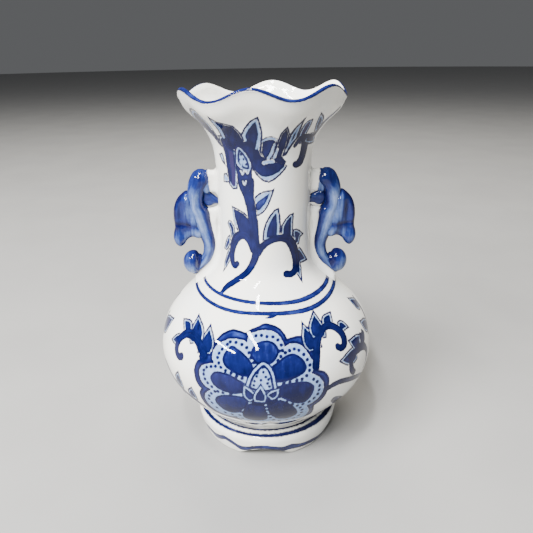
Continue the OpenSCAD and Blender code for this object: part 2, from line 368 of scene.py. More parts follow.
class Canvas:
    """The painted surface: each point's azimuth and height, and how far it is from each kind of brushwork.

    Distances are in mm, negative inside.
    """

    LAYERS = ("pale", "blue", "dark")

    def __init__(self, a, z, r, lean):
        self.all_a, self.z, self.r, self.lean = a, z, r, lean
        self.a = a
        self.sx = r * math.pi / 180
        self.d = {k: np.full(len(a), FAR) for k in self.LAYERS}
        self.tone = np.zeros(len(a))
        self.hue = np.zeros(len(a))
        self.brush = np.zeros((len(a), 3))
        self.strokes = 0

    def turn(self, degrees):
        self.a = (self.all_a - degrees + 180) % 360 - 180

    def near(self, p, margin):
        lo, hi = p[:, :2].min(0), p[:, :2].max(0)
        r = max(20.0, float(np.min(body_r(np.clip(p[:, 1], FOOT_H, LIP_Z)))))
        side = math.degrees(margin / r)
        return np.nonzero((self.a > lo[0] - side) & (self.a < hi[0] + side)
                          & (self.z > lo[1] - margin) & (self.z < hi[1] + margin))[0]

    def measure(self, i, p, q):
        """Distance, place along, sideways offset and length, from points i to each of the segments p-q."""
        sx, sy = self.sx[i, None], self.lean[i, None]
        ux, uy = (p[:, 0] - self.a[i, None]) * sx, (p[:, 1] - self.z[i, None]) * sy
        vx, vy = (q[:, 0] - p[:, 0]) * sx, (q[:, 1] - p[:, 1]) * sy
        ll = vx * vx + vy * vy + 1e-9
        t = np.clip(-(ux * vx + uy * vy) / ll, 0, 1)
        d = np.hypot(ux + t * vx, uy + t * vy)
        return d, t, (ux * vy - uy * vx) / np.sqrt(ll), np.sqrt(ll)

    def put(self, layer, i, d, tone=None, across=None, along=None, hue=0.0):
        rank = -1 if layer == "white" else self.LAYERS.index(layer)
        for other in self.LAYERS[rank + 1:]:
            self.d[other][i] = np.maximum(self.d[other][i], -d)
        if layer == "white":
            return
        self.d[layer][i] = np.minimum(self.d[layer][i], d)
        hit = d < 0.8
        j = i[hit]
        if tone is not None:
            self.tone[j] = (tone if np.isscalar(tone) else tone[hit])
        self.hue[j] = hue
        if across is not None:
            self.brush[j, 0] = across[hit]
            self.brush[j, 1] = along[hit]
            self.brush[j, 2] = self.strokes * 7.3
        self.strokes += 1

    def stroke(self, points, width, layer="blue", tone=0.75, n=6, hue=0.0):
        """A brush stroke along a smooth line; width is in mm, one value or one for each point."""
        pts = np.array(points, float)
        w = np.broadcast_to(np.asarray(width, float), len(pts)) / 2
        path = spline(np.column_stack([pts, w]), n)
        i = self.near(path, float(w.max()) + 4)
        if not len(i):
            return
        d, t, side, length = self.measure(i, path[:-1], path[1:])
        half = path[:-1, 2] * (1 - t) + path[1:, 2] * t
        e = d - half
        k = e.argmin(1)
        rows = np.arange(len(i))
        start = np.concatenate([[0], np.cumsum(length.mean(0))])
        self.put(layer, i, e[rows, k], tone, 2.2 * side[rows, k], start[k] + t[rows, k] * length[rows, k],
                 hue)

    def shape(self, points, smooth=True, n=6):
        """Points near a closed outline, and their signed distance to it."""
        path = spline(points, n, closed=True) if smooth else np.array(points, float)
        i = self.near(path, 4)
        p, q = path, np.roll(path, -1, 0)
        d = self.measure(i, p, q)[0].min(1)
        a, z = self.a[i, None], self.z[i, None]
        cross = ((p[:, 1] > z) != (q[:, 1] > z))
        x = (p[:, 0] + (z - p[:, 1]) / np.where(q[:, 1] == p[:, 1], 1e-9, q[:, 1] - p[:, 1])
             * (q[:, 0] - p[:, 0]))
        inside = (cross & (a < x)).sum(1) % 2 == 1
        return i, np.where(inside, -d, d)

    def fill(self, points, layer="blue", tone=0.6, smooth=True, hue=0.0):
        i, d = self.shape(points, smooth)
        self.put(layer, i, d, tone, self.a[i] * self.sx[i], self.z[i], hue)

    def petal(self, points, line=1.1, gap=0.8, tone=0.8, core="blue", smooth=True, hue=0.0, margin="pale"):
        """A petal or leaf: a dark outline, a pale margin and a blue heart, all from one outline."""
        i, d = self.shape(points, smooth)
        if not len(i):
            return
        self.put("dark", i, d)
        self.put(margin, i, d + line)
        if core:
            self.put(core, i, d + line + gap, tone, self.a[i] * self.sx[i], self.z[i], hue)

    def leaf(self, base, tip, wide, bend=0.0, foot=0.28, **look):
        """A pointed leaf from base to tip, wide mm across, bowed sideways by bend mm."""
        b, t = np.array(base, float), np.array(tip, float)
        mid = (b + t) / 2
        r = float(body_r(np.clip(mid[1], FOOT_H, LIP_Z)))
        lean = math.hypot(1, float(body_r(mid[1] + 0.5) - body_r(mid[1] - 0.5)))
        scale = np.array([r * math.pi / 180, lean])
        axis = (t - b) * scale
        length = np.hypot(*axis)
        axis /= length
        side = np.array([-axis[1], axis[0]])
        u = np.linspace(0, 1, 15)
        centre = u[:, None] * length * axis + (4 * u * (1 - u) * bend)[:, None] * side
        half = wide * 0.57 * np.sin(math.pi * (foot + (1 - foot) * u)) * (1 - 0.35 * u ** 3)
        left, right = centre + half[:, None] * side, centre - half[:, None] * side
        outline = np.concatenate([left, right[-2::-1]]) / scale + b
        self.petal(outline, smooth=False, **look)

    def dots(self, places, r, layer="dark"):
        for p in np.atleast_2d(np.array(places, float)):
            i = self.near(p[None], r + 2)
            d = np.hypot((self.a[i] - p[0]) * self.sx[i], (self.z[i] - p[1]) * self.lean[i])
            self.put(layer, i, d - r)

    def hoop(self, stations, width, layer="blue", tone=0.7):
        """A line all the way round: stations are [azimuth, height], width is [azimuth, mm] or one value."""
        s = np.array(stations, float)
        path = spline(s, 8)
        w = np.array(width, float) if np.ndim(width) else np.array([[0, width]])
        z = np.interp(self.a, path[:, 0], path[:, 1], period=360)
        half = np.interp(self.a, w[:, 0], w[:, 1], period=360) / 2
        i = np.nonzero(np.abs(self.z - z) < 6)[0]
        off = (self.z[i] - z[i]) * self.lean[i]
        self.put(layer, i, np.abs(off) - half[i], tone, off, self.a[i] * self.sx[i])


# Petals of the big flower, as azimuth and height
CORES = [
    # outline of each petal's heart, then how dark it is
    ([(-7.8, 97.8), (-7, 101), (-4.7, 103.6), (0.6, 104.7), (4.4, 103.2), (6.3, 100), (5, 96.6), (2.2, 93.8),
      (-1.5, 93.4), (-4.7, 93.8), (-6.7, 96)], 0.55),
    ([(2.5, 90.8), (5.9, 94), (10.2, 96.8), (13.9, 97.2), (17.1, 95), (19.1, 91.4), (19.3, 88), (17.1, 85.8),
      (13.4, 84.1), (8.6, 82.9), (4.7, 83), (3, 86)], 0.7),
    ([(4.9, 79), (9.1, 80.4), (15.5, 80.6), (19.8, 79.3), (22.3, 76), (22, 71.7), (20.1, 67.4),
      (17.7, 65.3), (13.9, 66), (10.2, 68.9), (6.5, 72.4), (4.9, 75.3)], 0.95),
    ([(0.1, 69), (4.3, 70.4), (7.5, 68.5), (11.3, 64.6), (13.9, 59.6), (14.8, 55.3), (13.4, 52.2),
      (9.7, 50.2), (5.9, 51.3), (3.2, 54.6), (1.3, 58.9), (0.4, 63.9)], 1.0),
    ([(-4.7, 69), (-1.5, 66.9), (-0.2, 62.4), (-0.2, 56.7), (-0.5, 51.5), (-3.6, 48.8), (-7.9, 48.8),
      (-11.2, 51.3), (-12, 55.3), (-11.1, 60.3), (-9, 65.3)], 0.9),
    ([(-9.4, 70.4), (-13.2, 71.8), (-19.1, 71.1), (-23.4, 68.9), (-25.3, 65.3), (-24.8, 61.7),
      (-21.8, 57.3), (-18, 55.9), (-13.7, 58), (-11.8, 61.7), (-9.6, 65.3)], 0.75),
    ([(-27.4, 81.7), (-25.6, 85), (-22.3, 85.8), (-18, 85.4), (-13.8, 83.2), (-10.6, 81), (-10.6, 76),
      (-15.4, 73.8), (-19.6, 74.1), (-24.4, 75.9), (-26.9, 78.9)], 0.75),
    ([(-22, 95.3), (-19.1, 100.8), (-15.4, 100), (-11.1, 97.5), (-7.8, 94), (-6.9, 91), (-8.2, 86.6),
      (-12.2, 86.3), (-16.4, 88), (-20.8, 91)], 0.6),
]
# Scalloped outline of the pale band, its notches given twice
PALE_EDGE = [
    (-10.6, 103.8), (-10.6, 103.8), (-9.5, 107.5), (-5.8, 109), (-1.5, 109.7), (3.3, 109.3), (7, 107.5),
    (9.2, 104.2), (9.9, 101.3), (9.9, 101.3), (13.4, 102.6), (17.7, 101.8), (20.6, 98.9), (22.3, 94.6),
    (23.9, 90.6), (23.4, 87.4), (21.7, 84.9), (21.7, 84.9), (24.2, 82.6), (26.6, 79.6), (27.9, 75.3),
    (27.6, 70.3), (25.8, 66), (22.5, 62.7), (19.5, 61.2), (19.5, 61.2), (20.4, 59), (21.5, 54.6),
    (21, 48.9), (18.2, 43.9), (13.9, 41.6), (8.6, 41.6), (4.9, 44.2), (1.7, 47), (1.7, 47), (0, 44.4),
    (-3.6, 41.6), (-7.9, 41.6), (-12.2, 44.4), (-15.4, 49), (-16.4, 51), (-16.4, 51), (-20.7, 50),
    (-26, 51.7), (-29.7, 56), (-31.7, 61.7), (-31.2, 66.7), (-29.3, 70.3), (-26.9, 72.6), (-26.9, 72.6),
    (-30.2, 73.8), (-32.4, 76.2), (-34, 79.6), (-34.3, 83.9), (-32.6, 87.1), (-29.2, 89.3), (-26.4, 90.2),
    (-26.4, 90.2), (-28.1, 93.1), (-28.4, 96.7), (-26.8, 100.6), (-23.4, 103), (-20.7, 104.4),
    (-16.4, 104.9), (-12.6, 104.6)]
# Scalloped outline of the whole flower
FLOWER_EDGE = [
    (-11.6, 108.2), (-11.6, 108.2), (-9, 110), (-4.7, 111.3), (-1, 112.6), (4.3, 111.9), (8.6, 110),
    (11, 107.2), (11.8, 105), (11.8, 105), (15.5, 105.6), (19.3, 105.5), (22.8, 104.2), (25, 101),
    (26.8, 96.4), (27.4, 92.4), (26.9, 88), (26, 85.4), (26, 85.4), (29, 83.2), (30.8, 79.6), (31.2, 76),
    (30.4, 70.3), (29.5, 66), (26.9, 61.7), (23.6, 59), (23.6, 59), (24.3, 53.9), (24, 48.1), (21.9, 43),
    (18.2, 39.2), (13.4, 37.6), (8, 37.6), (3.4, 40.2), (0.6, 42), (0.6, 42), (-3.4, 38.2), (-8.4, 37.8),
    (-13.6, 40.4), (-17, 45.6), (-17, 45.6), (-22.4, 45.6), (-28.4, 48.6), (-32.4, 54.4), (-34.4, 61),
    (-34.6, 66.7), (-33, 70.4), (-33, 70.4), (-35.4, 73.1), (-37, 77.4), (-37.8, 82.4), (-37, 87.4),
    (-34.8, 90.4), (-32, 92.2), (-32, 92.2), (-32.1, 97.4), (-31, 100.3), (-28.6, 102.2), (-27.2, 104.8),
    (-24.4, 107.2), (-20.7, 108.9), (-16.4, 108.8)]
# Dots in the pale band
DOTS = [
    (-5.8, 107.1), (-2.6, 107.4), (0.5, 106.8), (3.9, 106.6), (6.6, 105), (8.1, 102.5), (6.6, 99.7),
    (8.5, 99.8), (7.4, 96.9), (5.8, 94.9), (9.9, 98.5), (12.3, 99.4), (14.9, 99.8), (17.2, 98.8),
    (19.4, 96.2), (20.7, 93.1), (21.7, 89.8), (21, 86.8), (19.3, 84), (16.9, 82.4), (14.2, 82.3),
    (10.9, 81.8), (8, 81.2), (22.7, 80.6), (24.5, 78.3), (25.7, 75.1), (25.5, 72), (24.9, 69), (23, 66.3),
    (20.6, 64.3), (17.4, 63.4), (14.6, 63), (12, 65.2), (9.3, 68), (16.3, 60.5), (17.5, 57.8), (17.7, 54.6),
    (16.7, 51.4), (14.3, 48.2), (10.6, 46.6), (6.6, 47.2), (3.4, 49.4), (1.6, 53), (1.1, 56.7), (-2.4, 46),
    (-6.4, 45.2), (-10.4, 46.6), (-13.2, 49.6), (-14, 54), (-12.9, 58), (-18.2, 53.2), (-22, 53.6),
    (-26, 57), (-28.2, 60.8), (-29.4, 63.8), (-28.8, 66.9), (-27.4, 69.5), (-25.2, 71.9), (-21, 72.5),
    (-23.6, 72.7), (-17, 72.8), (-26.9, 74.9), (-29.2, 76.7), (-30.8, 78.9), (-31.7, 81.6), (-31.8, 84.2),
    (-30.4, 86.6), (-28, 87.8), (-25.6, 88.8), (-22.7, 88.9), (-20, 87.6), (-17.1, 86.8), (-14.2, 85.5),
    (-11.6, 84.5), (-24, 91.2), (-25.2, 93.9), (-24.9, 96.4), (-23.6, 98.8), (-21.4, 101.6), (-20, 103),
    (-16.7, 103.2), (-13.3, 102.6), (-10.4, 101.4), (-8.9, 98.9), (-7.6, 96.4), (-6.2, 94)]


def belly_flower(c):
    i, d = c.shape(FLOWER_EDGE)
    c.put("blue", i, d, 0.5 + 0.12 * np.sin(c.a[i] * 0.5) - 0.1 * smoothstep((c.z[i] - 98) / 10), d * 0.8,
          c.a[i] * c.sx[i])
    c.put("dark", i, np.abs(d + 0.5) - 0.8)
    i, d = c.shape(PALE_EDGE)
    c.put("dark", i, d - 1.5)
    c.put("pale", i, d)
    for outline, tone in CORES:
        i, d = c.shape(outline)
        t = tone - 0.035 * (c.z[i] - np.mean([q[1] for q in outline]))
        c.put("blue", i, d - 0.4, t, c.a[i] * c.sx[i] * 0.8, c.z[i] * 0.8)
        c.put("dark", i, np.abs(d + 0.1) - 0.7)
    c.dots(DOTS, 1.2)
    # between the petals' feet, then the pod and its three small leaves
    c.fill([(-8.6, 73), (-7, 66.8), (-3.4, 66.2), (0.8, 66.4), (3.6, 68.6), (7, 73), (5.6, 79), (-1, 81),
            (-9, 79)], tone=1.0)
    c.dots([(-7.8, 67.9), (-0.6, 66.2), (5.6, 70.6), (-0.2, 63), (0.1, 60.2)], 0.8, "pale")
    pod = [(-9, 78), (-8.8, 83), (-7.2, 88), (-4.4, 92), (-1.6, 94.2), (1.2, 92.4), (3.2, 88.4), (4, 83),
           (4, 77), (-2, 75)]
    i, d = c.shape(pod)
    c.put("dark", i, d - 1.2)
    c.put("pale", i, d)
    c.put("dark", i, np.abs(d + 2.0) - 0.75)
    for p in [(-1.6, 91.6), (-1.5, 88.8), (-4.3, 88.4), (-4.6, 86.2), (-0.4, 86), (1, 84.4), (-5.6, 83.4),
              (0.4, 82), (-6, 80.6), (1.2, 80), (-2.6, 84)]:
        c.dots(p, 0.95)
    small = dict(line=1.0, gap=0.9, tone=0.75)
    c.leaf((-5.6, 69.6), (-11.2, 82.2), 8.0, 0.9, **small)
    c.leaf((0.4, 71.6), (6.6, 79.8), 7.0, -0.7, **small)
    c.leaf((-3.4, 67.8), (-2.6, 82.6), 8.6, 0.0, **small)


def sprays(c):
    """Curling leaf sprays beside the flower."""
    look = dict(line=1.3, gap=0.6, tone=0.7)
    # left spray
    for base, tip, wide, bend in [((-33.6, 93), (-36.6, 109.6), 11, -1.4),
                                  ((-40.4, 97), (-49.8, 111), 11.5, -1.0),
                                  ((-48, 100.5), (-60.8, 104.2), 8.0, -1.4),
                                  ((-54, 95), (-62.2, 89.6), 7.0, 0.8)]:
        c.leaf(base, tip, wide, bend, **look)
    c.stroke([(-34, 91.7), (-33.6, 93.4), (-36.6, 96), (-39.9, 98.9), (-44.9, 100.3), (-49.8, 99.4),
              (-53.1, 95.6), (-54.2, 90.6), (-53.1, 86.3), (-50.4, 84.2), (-48.4, 85.2)],
             [5.8, 5.8, 5.8, 6.0, 6.6, 6.6, 6.2, 5.8, 5.2, 4.8, 5.2], tone=0.8)
    c.dots((-48.3, 85.9), 2.5, "blue")
    # right spray
    for base, tip, wide, bend in [((27, 96.5), (23.6, 112.4), 10.5, 1.2),
                                  ((31, 101.5), (35.8, 115.6), 11, 1.4),
                                  ((38, 105.5), (48.8, 111.3), 8.5, 1.2), ((46, 103), (55.2, 99), 7.5, 1.4)]:
        c.leaf(base, tip, wide, bend, **look)
    c.stroke([(24.7, 88.3), (26, 92.8), (27.6, 98.3), (30.5, 102.6), (35.5, 105.7), (40.5, 105.9),
              (44.8, 103), (46.8, 98.3), (45.4, 93.8), (42.3, 92.6), (40.3, 94)],
             [5.6, 5.4, 5.4, 5.2, 5.0, 5.4, 5.8, 6.0, 5.4, 4.8, 4.8], tone=0.85)
    c.dots((40.2, 94.3), 2.3, "blue")
    # far right spray, in front of a dark petal
    c.leaf((53.5, 83.8), (37.8, 86), 10.5, 1.2, **look)
    c.leaf((60, 88), (48.2, 94.8), 10.5, 1.8, **look)
    c.fill([(59.5, 88), (61, 92.6), (63.4, 91.4), (65, 93), (67.5, 89), (64.5, 84.5), (60.5, 84.5)], tone=0.9)
    c.stroke([(47.5, 84.5), (53, 84.8), (59, 84.2), (63.4, 81), (65.4, 75.5), (64.6, 70), (62, 66)],
             [4.0, 5.6, 6.0, 5.4, 4.6, 4.0, 2.6], tone=0.85)
    c.stroke([(48.2, 84), (46.8, 79), (47.4, 74.5), (49.4, 71.4)], [4.0, 5.0, 5.2, 4.2], tone=0.9)
    c.stroke([(29.5, 70.2), (34, 71.6), (39, 71.2), (46, 68.2), (54.5, 64), (61, 59.6), (67, 54),
              (71.4, 46.5), (75, 36)],
             [3.6, 4.4, 4.4, 4.4, 4.4, 4.0, 3.8, 3.6, 3.0], tone=0.85)
    c.stroke([(36.4, 57), (40, 53.4), (47, 46), (54, 39.4), (60.5, 34)], [5.0, 7.5, 7.0, 5.5, 2.6], tone=0.8)
    # leaves that run round to the sides
    c.leaf((78, 88), (67.2, 97.6), 10, 1.5, **look)
    c.leaf((84, 100), (74.8, 110), 10, 1.5, **look)
    c.stroke([(75, 84), (80, 90), (84, 97), (86, 105)], [3.5, 4.5, 4.5, 2.5], tone=0.8)
    c.leaf((-82, 88), (-69.2, 100.4), 13, -1.5, **look)
    c.stroke([(-84, 96), (-82, 88), (-80, 80), (-83, 72)], [3, 4.5, 4.5, 3], tone=0.8)
    c.leaf((-51, 60), (-49.8, 74.6), 9, 0.8, **look)
    c.leaf((-41, 56), (-39.8, 68.4), 8, 0.8, **look)
    c.stroke([(-78, 62), (-72, 66.5), (-65, 66), (-58, 61), (-50, 57.5), (-42, 55), (-36, 52)],
             [3.5, 7, 7.5, 5.5, 5, 5, 3.5], tone=0.8)
    c.leaf((-56, 44), (-76, 35), 11, -2.0, **look)
    c.stroke([(-50, 56), (-54, 50), (-56, 44), (-52, 38)], [3, 4, 4, 2.5], tone=0.8)


def neck_spray(c):
    look = dict(line=1.3, gap=0.6, smooth=False)
    # leaves first, then the stems over their feet
    c.petal([(-61.5, 147.6), (-58, 152.6), (-53, 157.4), (-47, 160), (-45, 154), (-50, 150), (-54, 147.4)],
            line=1.1, gap=0.4, tone=0.4, smooth=False)
    c.petal([(-55.5, 132), (-58.5, 139), (-55, 145), (-50, 150), (-44, 150), (-46, 142), (-50, 138)],
            line=1.1, gap=0.4, tone=0.7, smooth=False)
    c.petal([(-51.5, 167), (-48, 169.8), (-43, 169.6), (-38, 166), (-37, 160), (-45, 157), (-47, 163)],
            line=1.1, gap=0.4, tone=0.7, smooth=False)
    c.petal([(-12, 160), (-13, 168), (-16, 173), (-23, 176.8), (-32, 178.8), (-41.8, 180), (-40.5, 174),
             (-39.8, 169), (-35, 164), (-32, 160)], tone=0.75, margin="blue", **look)
    c.stroke([(-39.4, 178), (-38.6, 172), (-35, 166.4)], [0.9, 1.4, 1.1], "pale")
    c.petal([(-3, 158), (-2, 165), (1, 170.5), (6, 175.5), (12, 179), (17.4, 180.2), (19.4, 174), (20, 167),
             (19, 158)],
            line=1.3, gap=1.2, tone=0.72, smooth=False)
    c.petal([(35, 164), (42, 164), (48, 162.2), (57.8, 157.8), (50, 157), (47, 152.5), (38, 152)], tone=0.7,
            **look)
    c.petal([(18, 158), (20, 168), (25, 172), (31, 174.6), (37.8, 175.2), (37, 168), (37, 158)], tone=0.85,
            **look)
    c.petal([(42, 150), (48, 150.6), (53, 147.4), (58, 143.6), (64.4, 138.2), (55, 138.6), (48, 138.8),
             (40, 136)],
            tone=0.75, **look)
    c.petal([(36, 136), (38.6, 131.5), (40, 127.6), (44, 131), (48, 136), (47, 142), (37, 142)], tone=0.75,
            **look)
    # open leaf off the main stem
    i, d = c.shape([(-12, 185.4), (-8, 188.6), (0, 191), (9, 191.6), (12.4, 192.6), (9, 186.5), (4, 180.4),
                    (-2, 176.6), (-9.5, 174.8), (-9.6, 180)])
    c.put("dark", i, d)
    c.put("pale", i, d + 1.2)
    c.fill([(-10, 179.6), (-9.4, 183), (-4, 185.6), (4, 188.6), (6.4, 189.4), (3, 184.6), (-1, 181.4),
            (-6, 178.6)], tone=0.45)
    # left branch
    c.stroke([(-13.5, 152), (-17, 157.6), (-24, 161.4), (-32, 160.6), (-39.4, 156), (-43.4, 149.5),
              (-43.6, 143.5), (-41, 140), (-37.4, 139.4), (-35, 141.2)],
             [5.0, 5.6, 6.0, 6.2, 6.2, 5.4, 5.0, 4.4, 4.0, 3.6], tone=0.8)
    c.dots((-35.2, 141), 2.1, "blue")
    # right branch
    c.stroke([(-8.5, 149.5), (-3, 154.5), (4.5, 157.7), (14, 159.4), (23, 159.4), (31, 157), (37, 151.5),
              (40.4, 145), (40, 139), (36, 135.6), (30, 134.4), (25, 135)],
             [4.4, 4.8, 4.6, 4.8, 5.4, 6.6, 7.0, 6.8, 6.6, 5.2, 4.6, 5.0], tone=0.85)
    c.dots((24.6, 134.8), 2.3, "blue")
    # main stem
    c.stroke([(-42, 123), (-39.4, 127), (-30, 132), (-20.8, 137), (-14.6, 142.8), (-11, 148.7),
              (-10.9, 155), (-12, 162), (-13, 170.3), (-15, 178.7), (-17, 187), (-19, 196)],
             [3.2, 5.0, 4.8, 4.6, 4.8, 5.2, 5.6, 6.2, 6.6, 6.2, 6.6, 9.6], tone=0.78)


def mouth_flower(c):
    dark = dict(tone=0.95)
    # left: hanging purple petal and the mass above it
    c.petal([(-96, 219), (-88, 228.6), (-80, 234.6), (-72, 238), (-62, 239), (-54, 236.4), (-50.5, 230),
             (-48, 222), (-45, 216), (-52, 217.6), (-58, 222), (-66, 225), (-76, 226), (-86, 223.4),
             (-96, 219), (-96, 219)],
            line=1.2, gap=0.6, tone=0.8, margin="blue")
    c.stroke([(-84, 229.6), (-76, 234.2), (-68, 236.6), (-60, 236.6), (-55, 233.4), (-52.4, 227)],
             [0.8, 1.3, 1.4, 1.4, 1.4, 1.0], "pale")
    c.leaf((-44, 198), (-54.6, 193.4), 6.0, -0.8, line=1.2, core=None)
    c.petal([(-47, 204), (-50, 213), (-59, 211.4), (-54, 207)], line=1.2, core=None, smooth=False)
    c.petal([(-48, 224), (-46.5, 212), (-46, 200), (-44, 193), (-38, 190.4), (-31, 191.2), (-29, 204),
             (-29, 218), (-36, 224)],
            tone=0.7, line=1.3, gap=0.6, hue=0.75, smooth=False)
    c.stroke([(-44, 220), (-43.6, 206), (-42.4, 196)], [3.4, 3.0, 2.2], tone=0.75)
    # stem top
    c.fill([(-31, 213), (-31.4, 200), (-30, 193), (-24.6, 187), (-20.4, 180), (-10.8, 180), (-11.8, 190),
            (-12.4, 204), (-10, 213)], tone=0.8)
    # petals, from left to right
    c.petal([(-42.2, 236.4), (-36, 233), (-30, 231.8), (-25, 231), (-20, 226.5), (-16, 220), (-18, 212),
             (-30, 214), (-40, 216), (-43, 222),
             (-43, 230)], line=1.3, gap=0.6, tone=0.95, margin="blue", smooth=False)
    c.stroke([(-40.2, 233), (-39.6, 229), (-39.8, 223)], [1.4, 2.2, 1.6], "pale")
    c.petal([(-21, 225), (-16, 229.8), (-10, 234), (-3.4, 236.4), (-1.2, 231), (0, 226), (-1, 219),
             (-4, 212), (-16, 212)],
            line=1.3, gap=1.3, tone=0.88, smooth=False)
    c.petal([(-4, 214), (-2.4, 221.6), (2, 224), (8, 224.6), (14, 223), (13, 216), (10, 209), (2, 207)],
            line=1.2, gap=0.7, tone=0.72, margin="blue", smooth=False)
    c.stroke([(-0.6, 221.4), (4, 222.8), (9, 223), (12.6, 221.8)], [0.9, 1.3, 1.4, 1.0], "pale")
    c.petal([(34, 218), (35, 226), (37, 231), (40, 232.8), (46, 233.2), (47.4, 229), (45, 223), (42, 218)],
            line=1.3, gap=0.6, tone=0.45, hue=0.9, smooth=False)
    c.petal([(18, 211), (23, 219), (25, 225.4), (29, 230.4), (34.4, 235.8), (35.4, 229), (35, 222),
             (31, 218), (25, 212)],
            line=1.7, gap=0.9, tone=0.85, smooth=False)
    c.petal([(10.6, 209), (12.6, 219), (15.6, 226), (20.5, 230.6), (25, 225.5), (25, 218), (21, 210),
             (17, 206)],
            line=1.2, gap=0.5, tone=0.85, margin="blue", smooth=False)
    # dark middle
    c.fill([(-26, 220), (-14, 222), (-6, 218), (-2.4, 213), (4, 209.6), (12, 210.6), (20, 212), (26, 208),
            (20, 203), (0, 202.6), (-12, 203.4), (-14, 211), (-22, 216)], smooth=False, **dark)
    c.stroke([(5, 210.8), (8.4, 214), (11.2, 219.6)], [1.4, 1.6, 1.0], "pale")
    c.stroke([(11.2, 211), (13, 213.2), (14.8, 216.6)], [1.2, 1.4, 0.8], "pale")
    c.stroke([(-7, 217), (-4.6, 221), (-2.8, 226)], [0.9, 1.5, 1.2], "pale")
    # bowl
    bowl = [(-12.4, 204.6), (-8, 200.6), (-2, 197.2), (5.6, 195.8), (13, 197.6), (20, 200.6), (25, 203.4),
            (27.4, 205.6), (22, 208.4), (14, 209.6), (4, 208.6), (-6, 207)]
    i, d = c.shape(bowl, smooth=False)
    c.put("dark", i, d)
    c.put("pale", i, d + 1.3)
    c.fill([(-12, 206), (-6, 201.6), (0, 199.8), (7, 200), (16, 202), (22, 204.6), (24, 206.4), (18, 208),
            (6, 209), (-8, 209)],
           tone=0.82)
    c.stroke([(0.4, 208.2), (5, 208.8), (10.4, 208.8)], 1.9, "pale")
    # pod
    pod = [(-31.8, 207), (-31.4, 213), (-27.6, 217.8), (-23, 217.6), (-17, 213.6), (-12.6, 208),
           (-13.4, 203.4), (-19, 202.4), (-26, 203.6)]
    i, d = c.shape(pod)
    c.put("dark", i, d - 0.4)
    c.put("pale", i, d + 0.8)
    c.put("dark", i, np.abs(d + 2.4) - 0.7)
    c.dots([(-24, 213), (-21.6, 210.2), (-19.2, 207)], 0.85)
    c.dots([(-26.8, 210), (-24.2, 206.8)], 0.85)
    for x, z in [(-24, 201.4), (-18, 202), (-22, 195), (-26, 206)]:
        c.stroke([(x - 2.2, z + 1.6), (x, z - 0.6), (x + 1.8, z + 1.8)], 0.8, "pale")
    # hook
    c.stroke([(34, 217.5), (39, 221.6), (44.6, 221.4), (48.4, 217.4), (49, 212), (46, 207.6), (40, 205.6),
              (37, 206)],
             [3.0, 4.4, 6.0, 7.0, 7.2, 6.4, 4.8, 3.8], tone=0.9)
    # right leaves
    c.leaf((46, 221.5), (73, 216), 7.0, 0.8, line=1.3, gap=0.6, tone=0.8)
    c.leaf((62, 224), (50.4, 236.8), 7.0, -1.5, line=1.3, gap=0.6, tone=0.8)
    c.stroke([(48, 222.6), (56, 221.6), (64, 223.6), (70, 230), (74, 237)], [3.4, 3.6, 4.2, 5, 3], tone=0.85)


def paint(c):
    for turn in (0, 180):
        c.turn(turn)
        belly_flower(c)
        sprays(c)
        neck_spray(c)
        mouth_flower(c)
    c.turn(0)
    c.hoop([(-180, 122), (-120, 123), (-70, 123), (-35, 122.2), (0, 121.5), (30, 120.8), (70, 122),
            (120, 122.6), (180, 122)],
           [(-180, 2.8), (-70, 2.2), (0, 2.9), (40, 3.7), (90, 3)], tone=0.4)
    c.hoop([(-180, 117.4), (-120, 118), (-75, 118.5), (-30, 116.9), (0, 117), (35, 116.2), (75, 118.4),
            (120, 117.8), (180, 117.4)], [(-180, 3), (-70, 2.4), (0, 2.9), (30, 3.6), (90, 3)], tone=0.4)
    c.stroke([(0, 115), (4, 115.4), (9, 116.6)], [1.0, 2.0, 1.4], tone=0.4)


# ---------------------------------------------------------------- materials

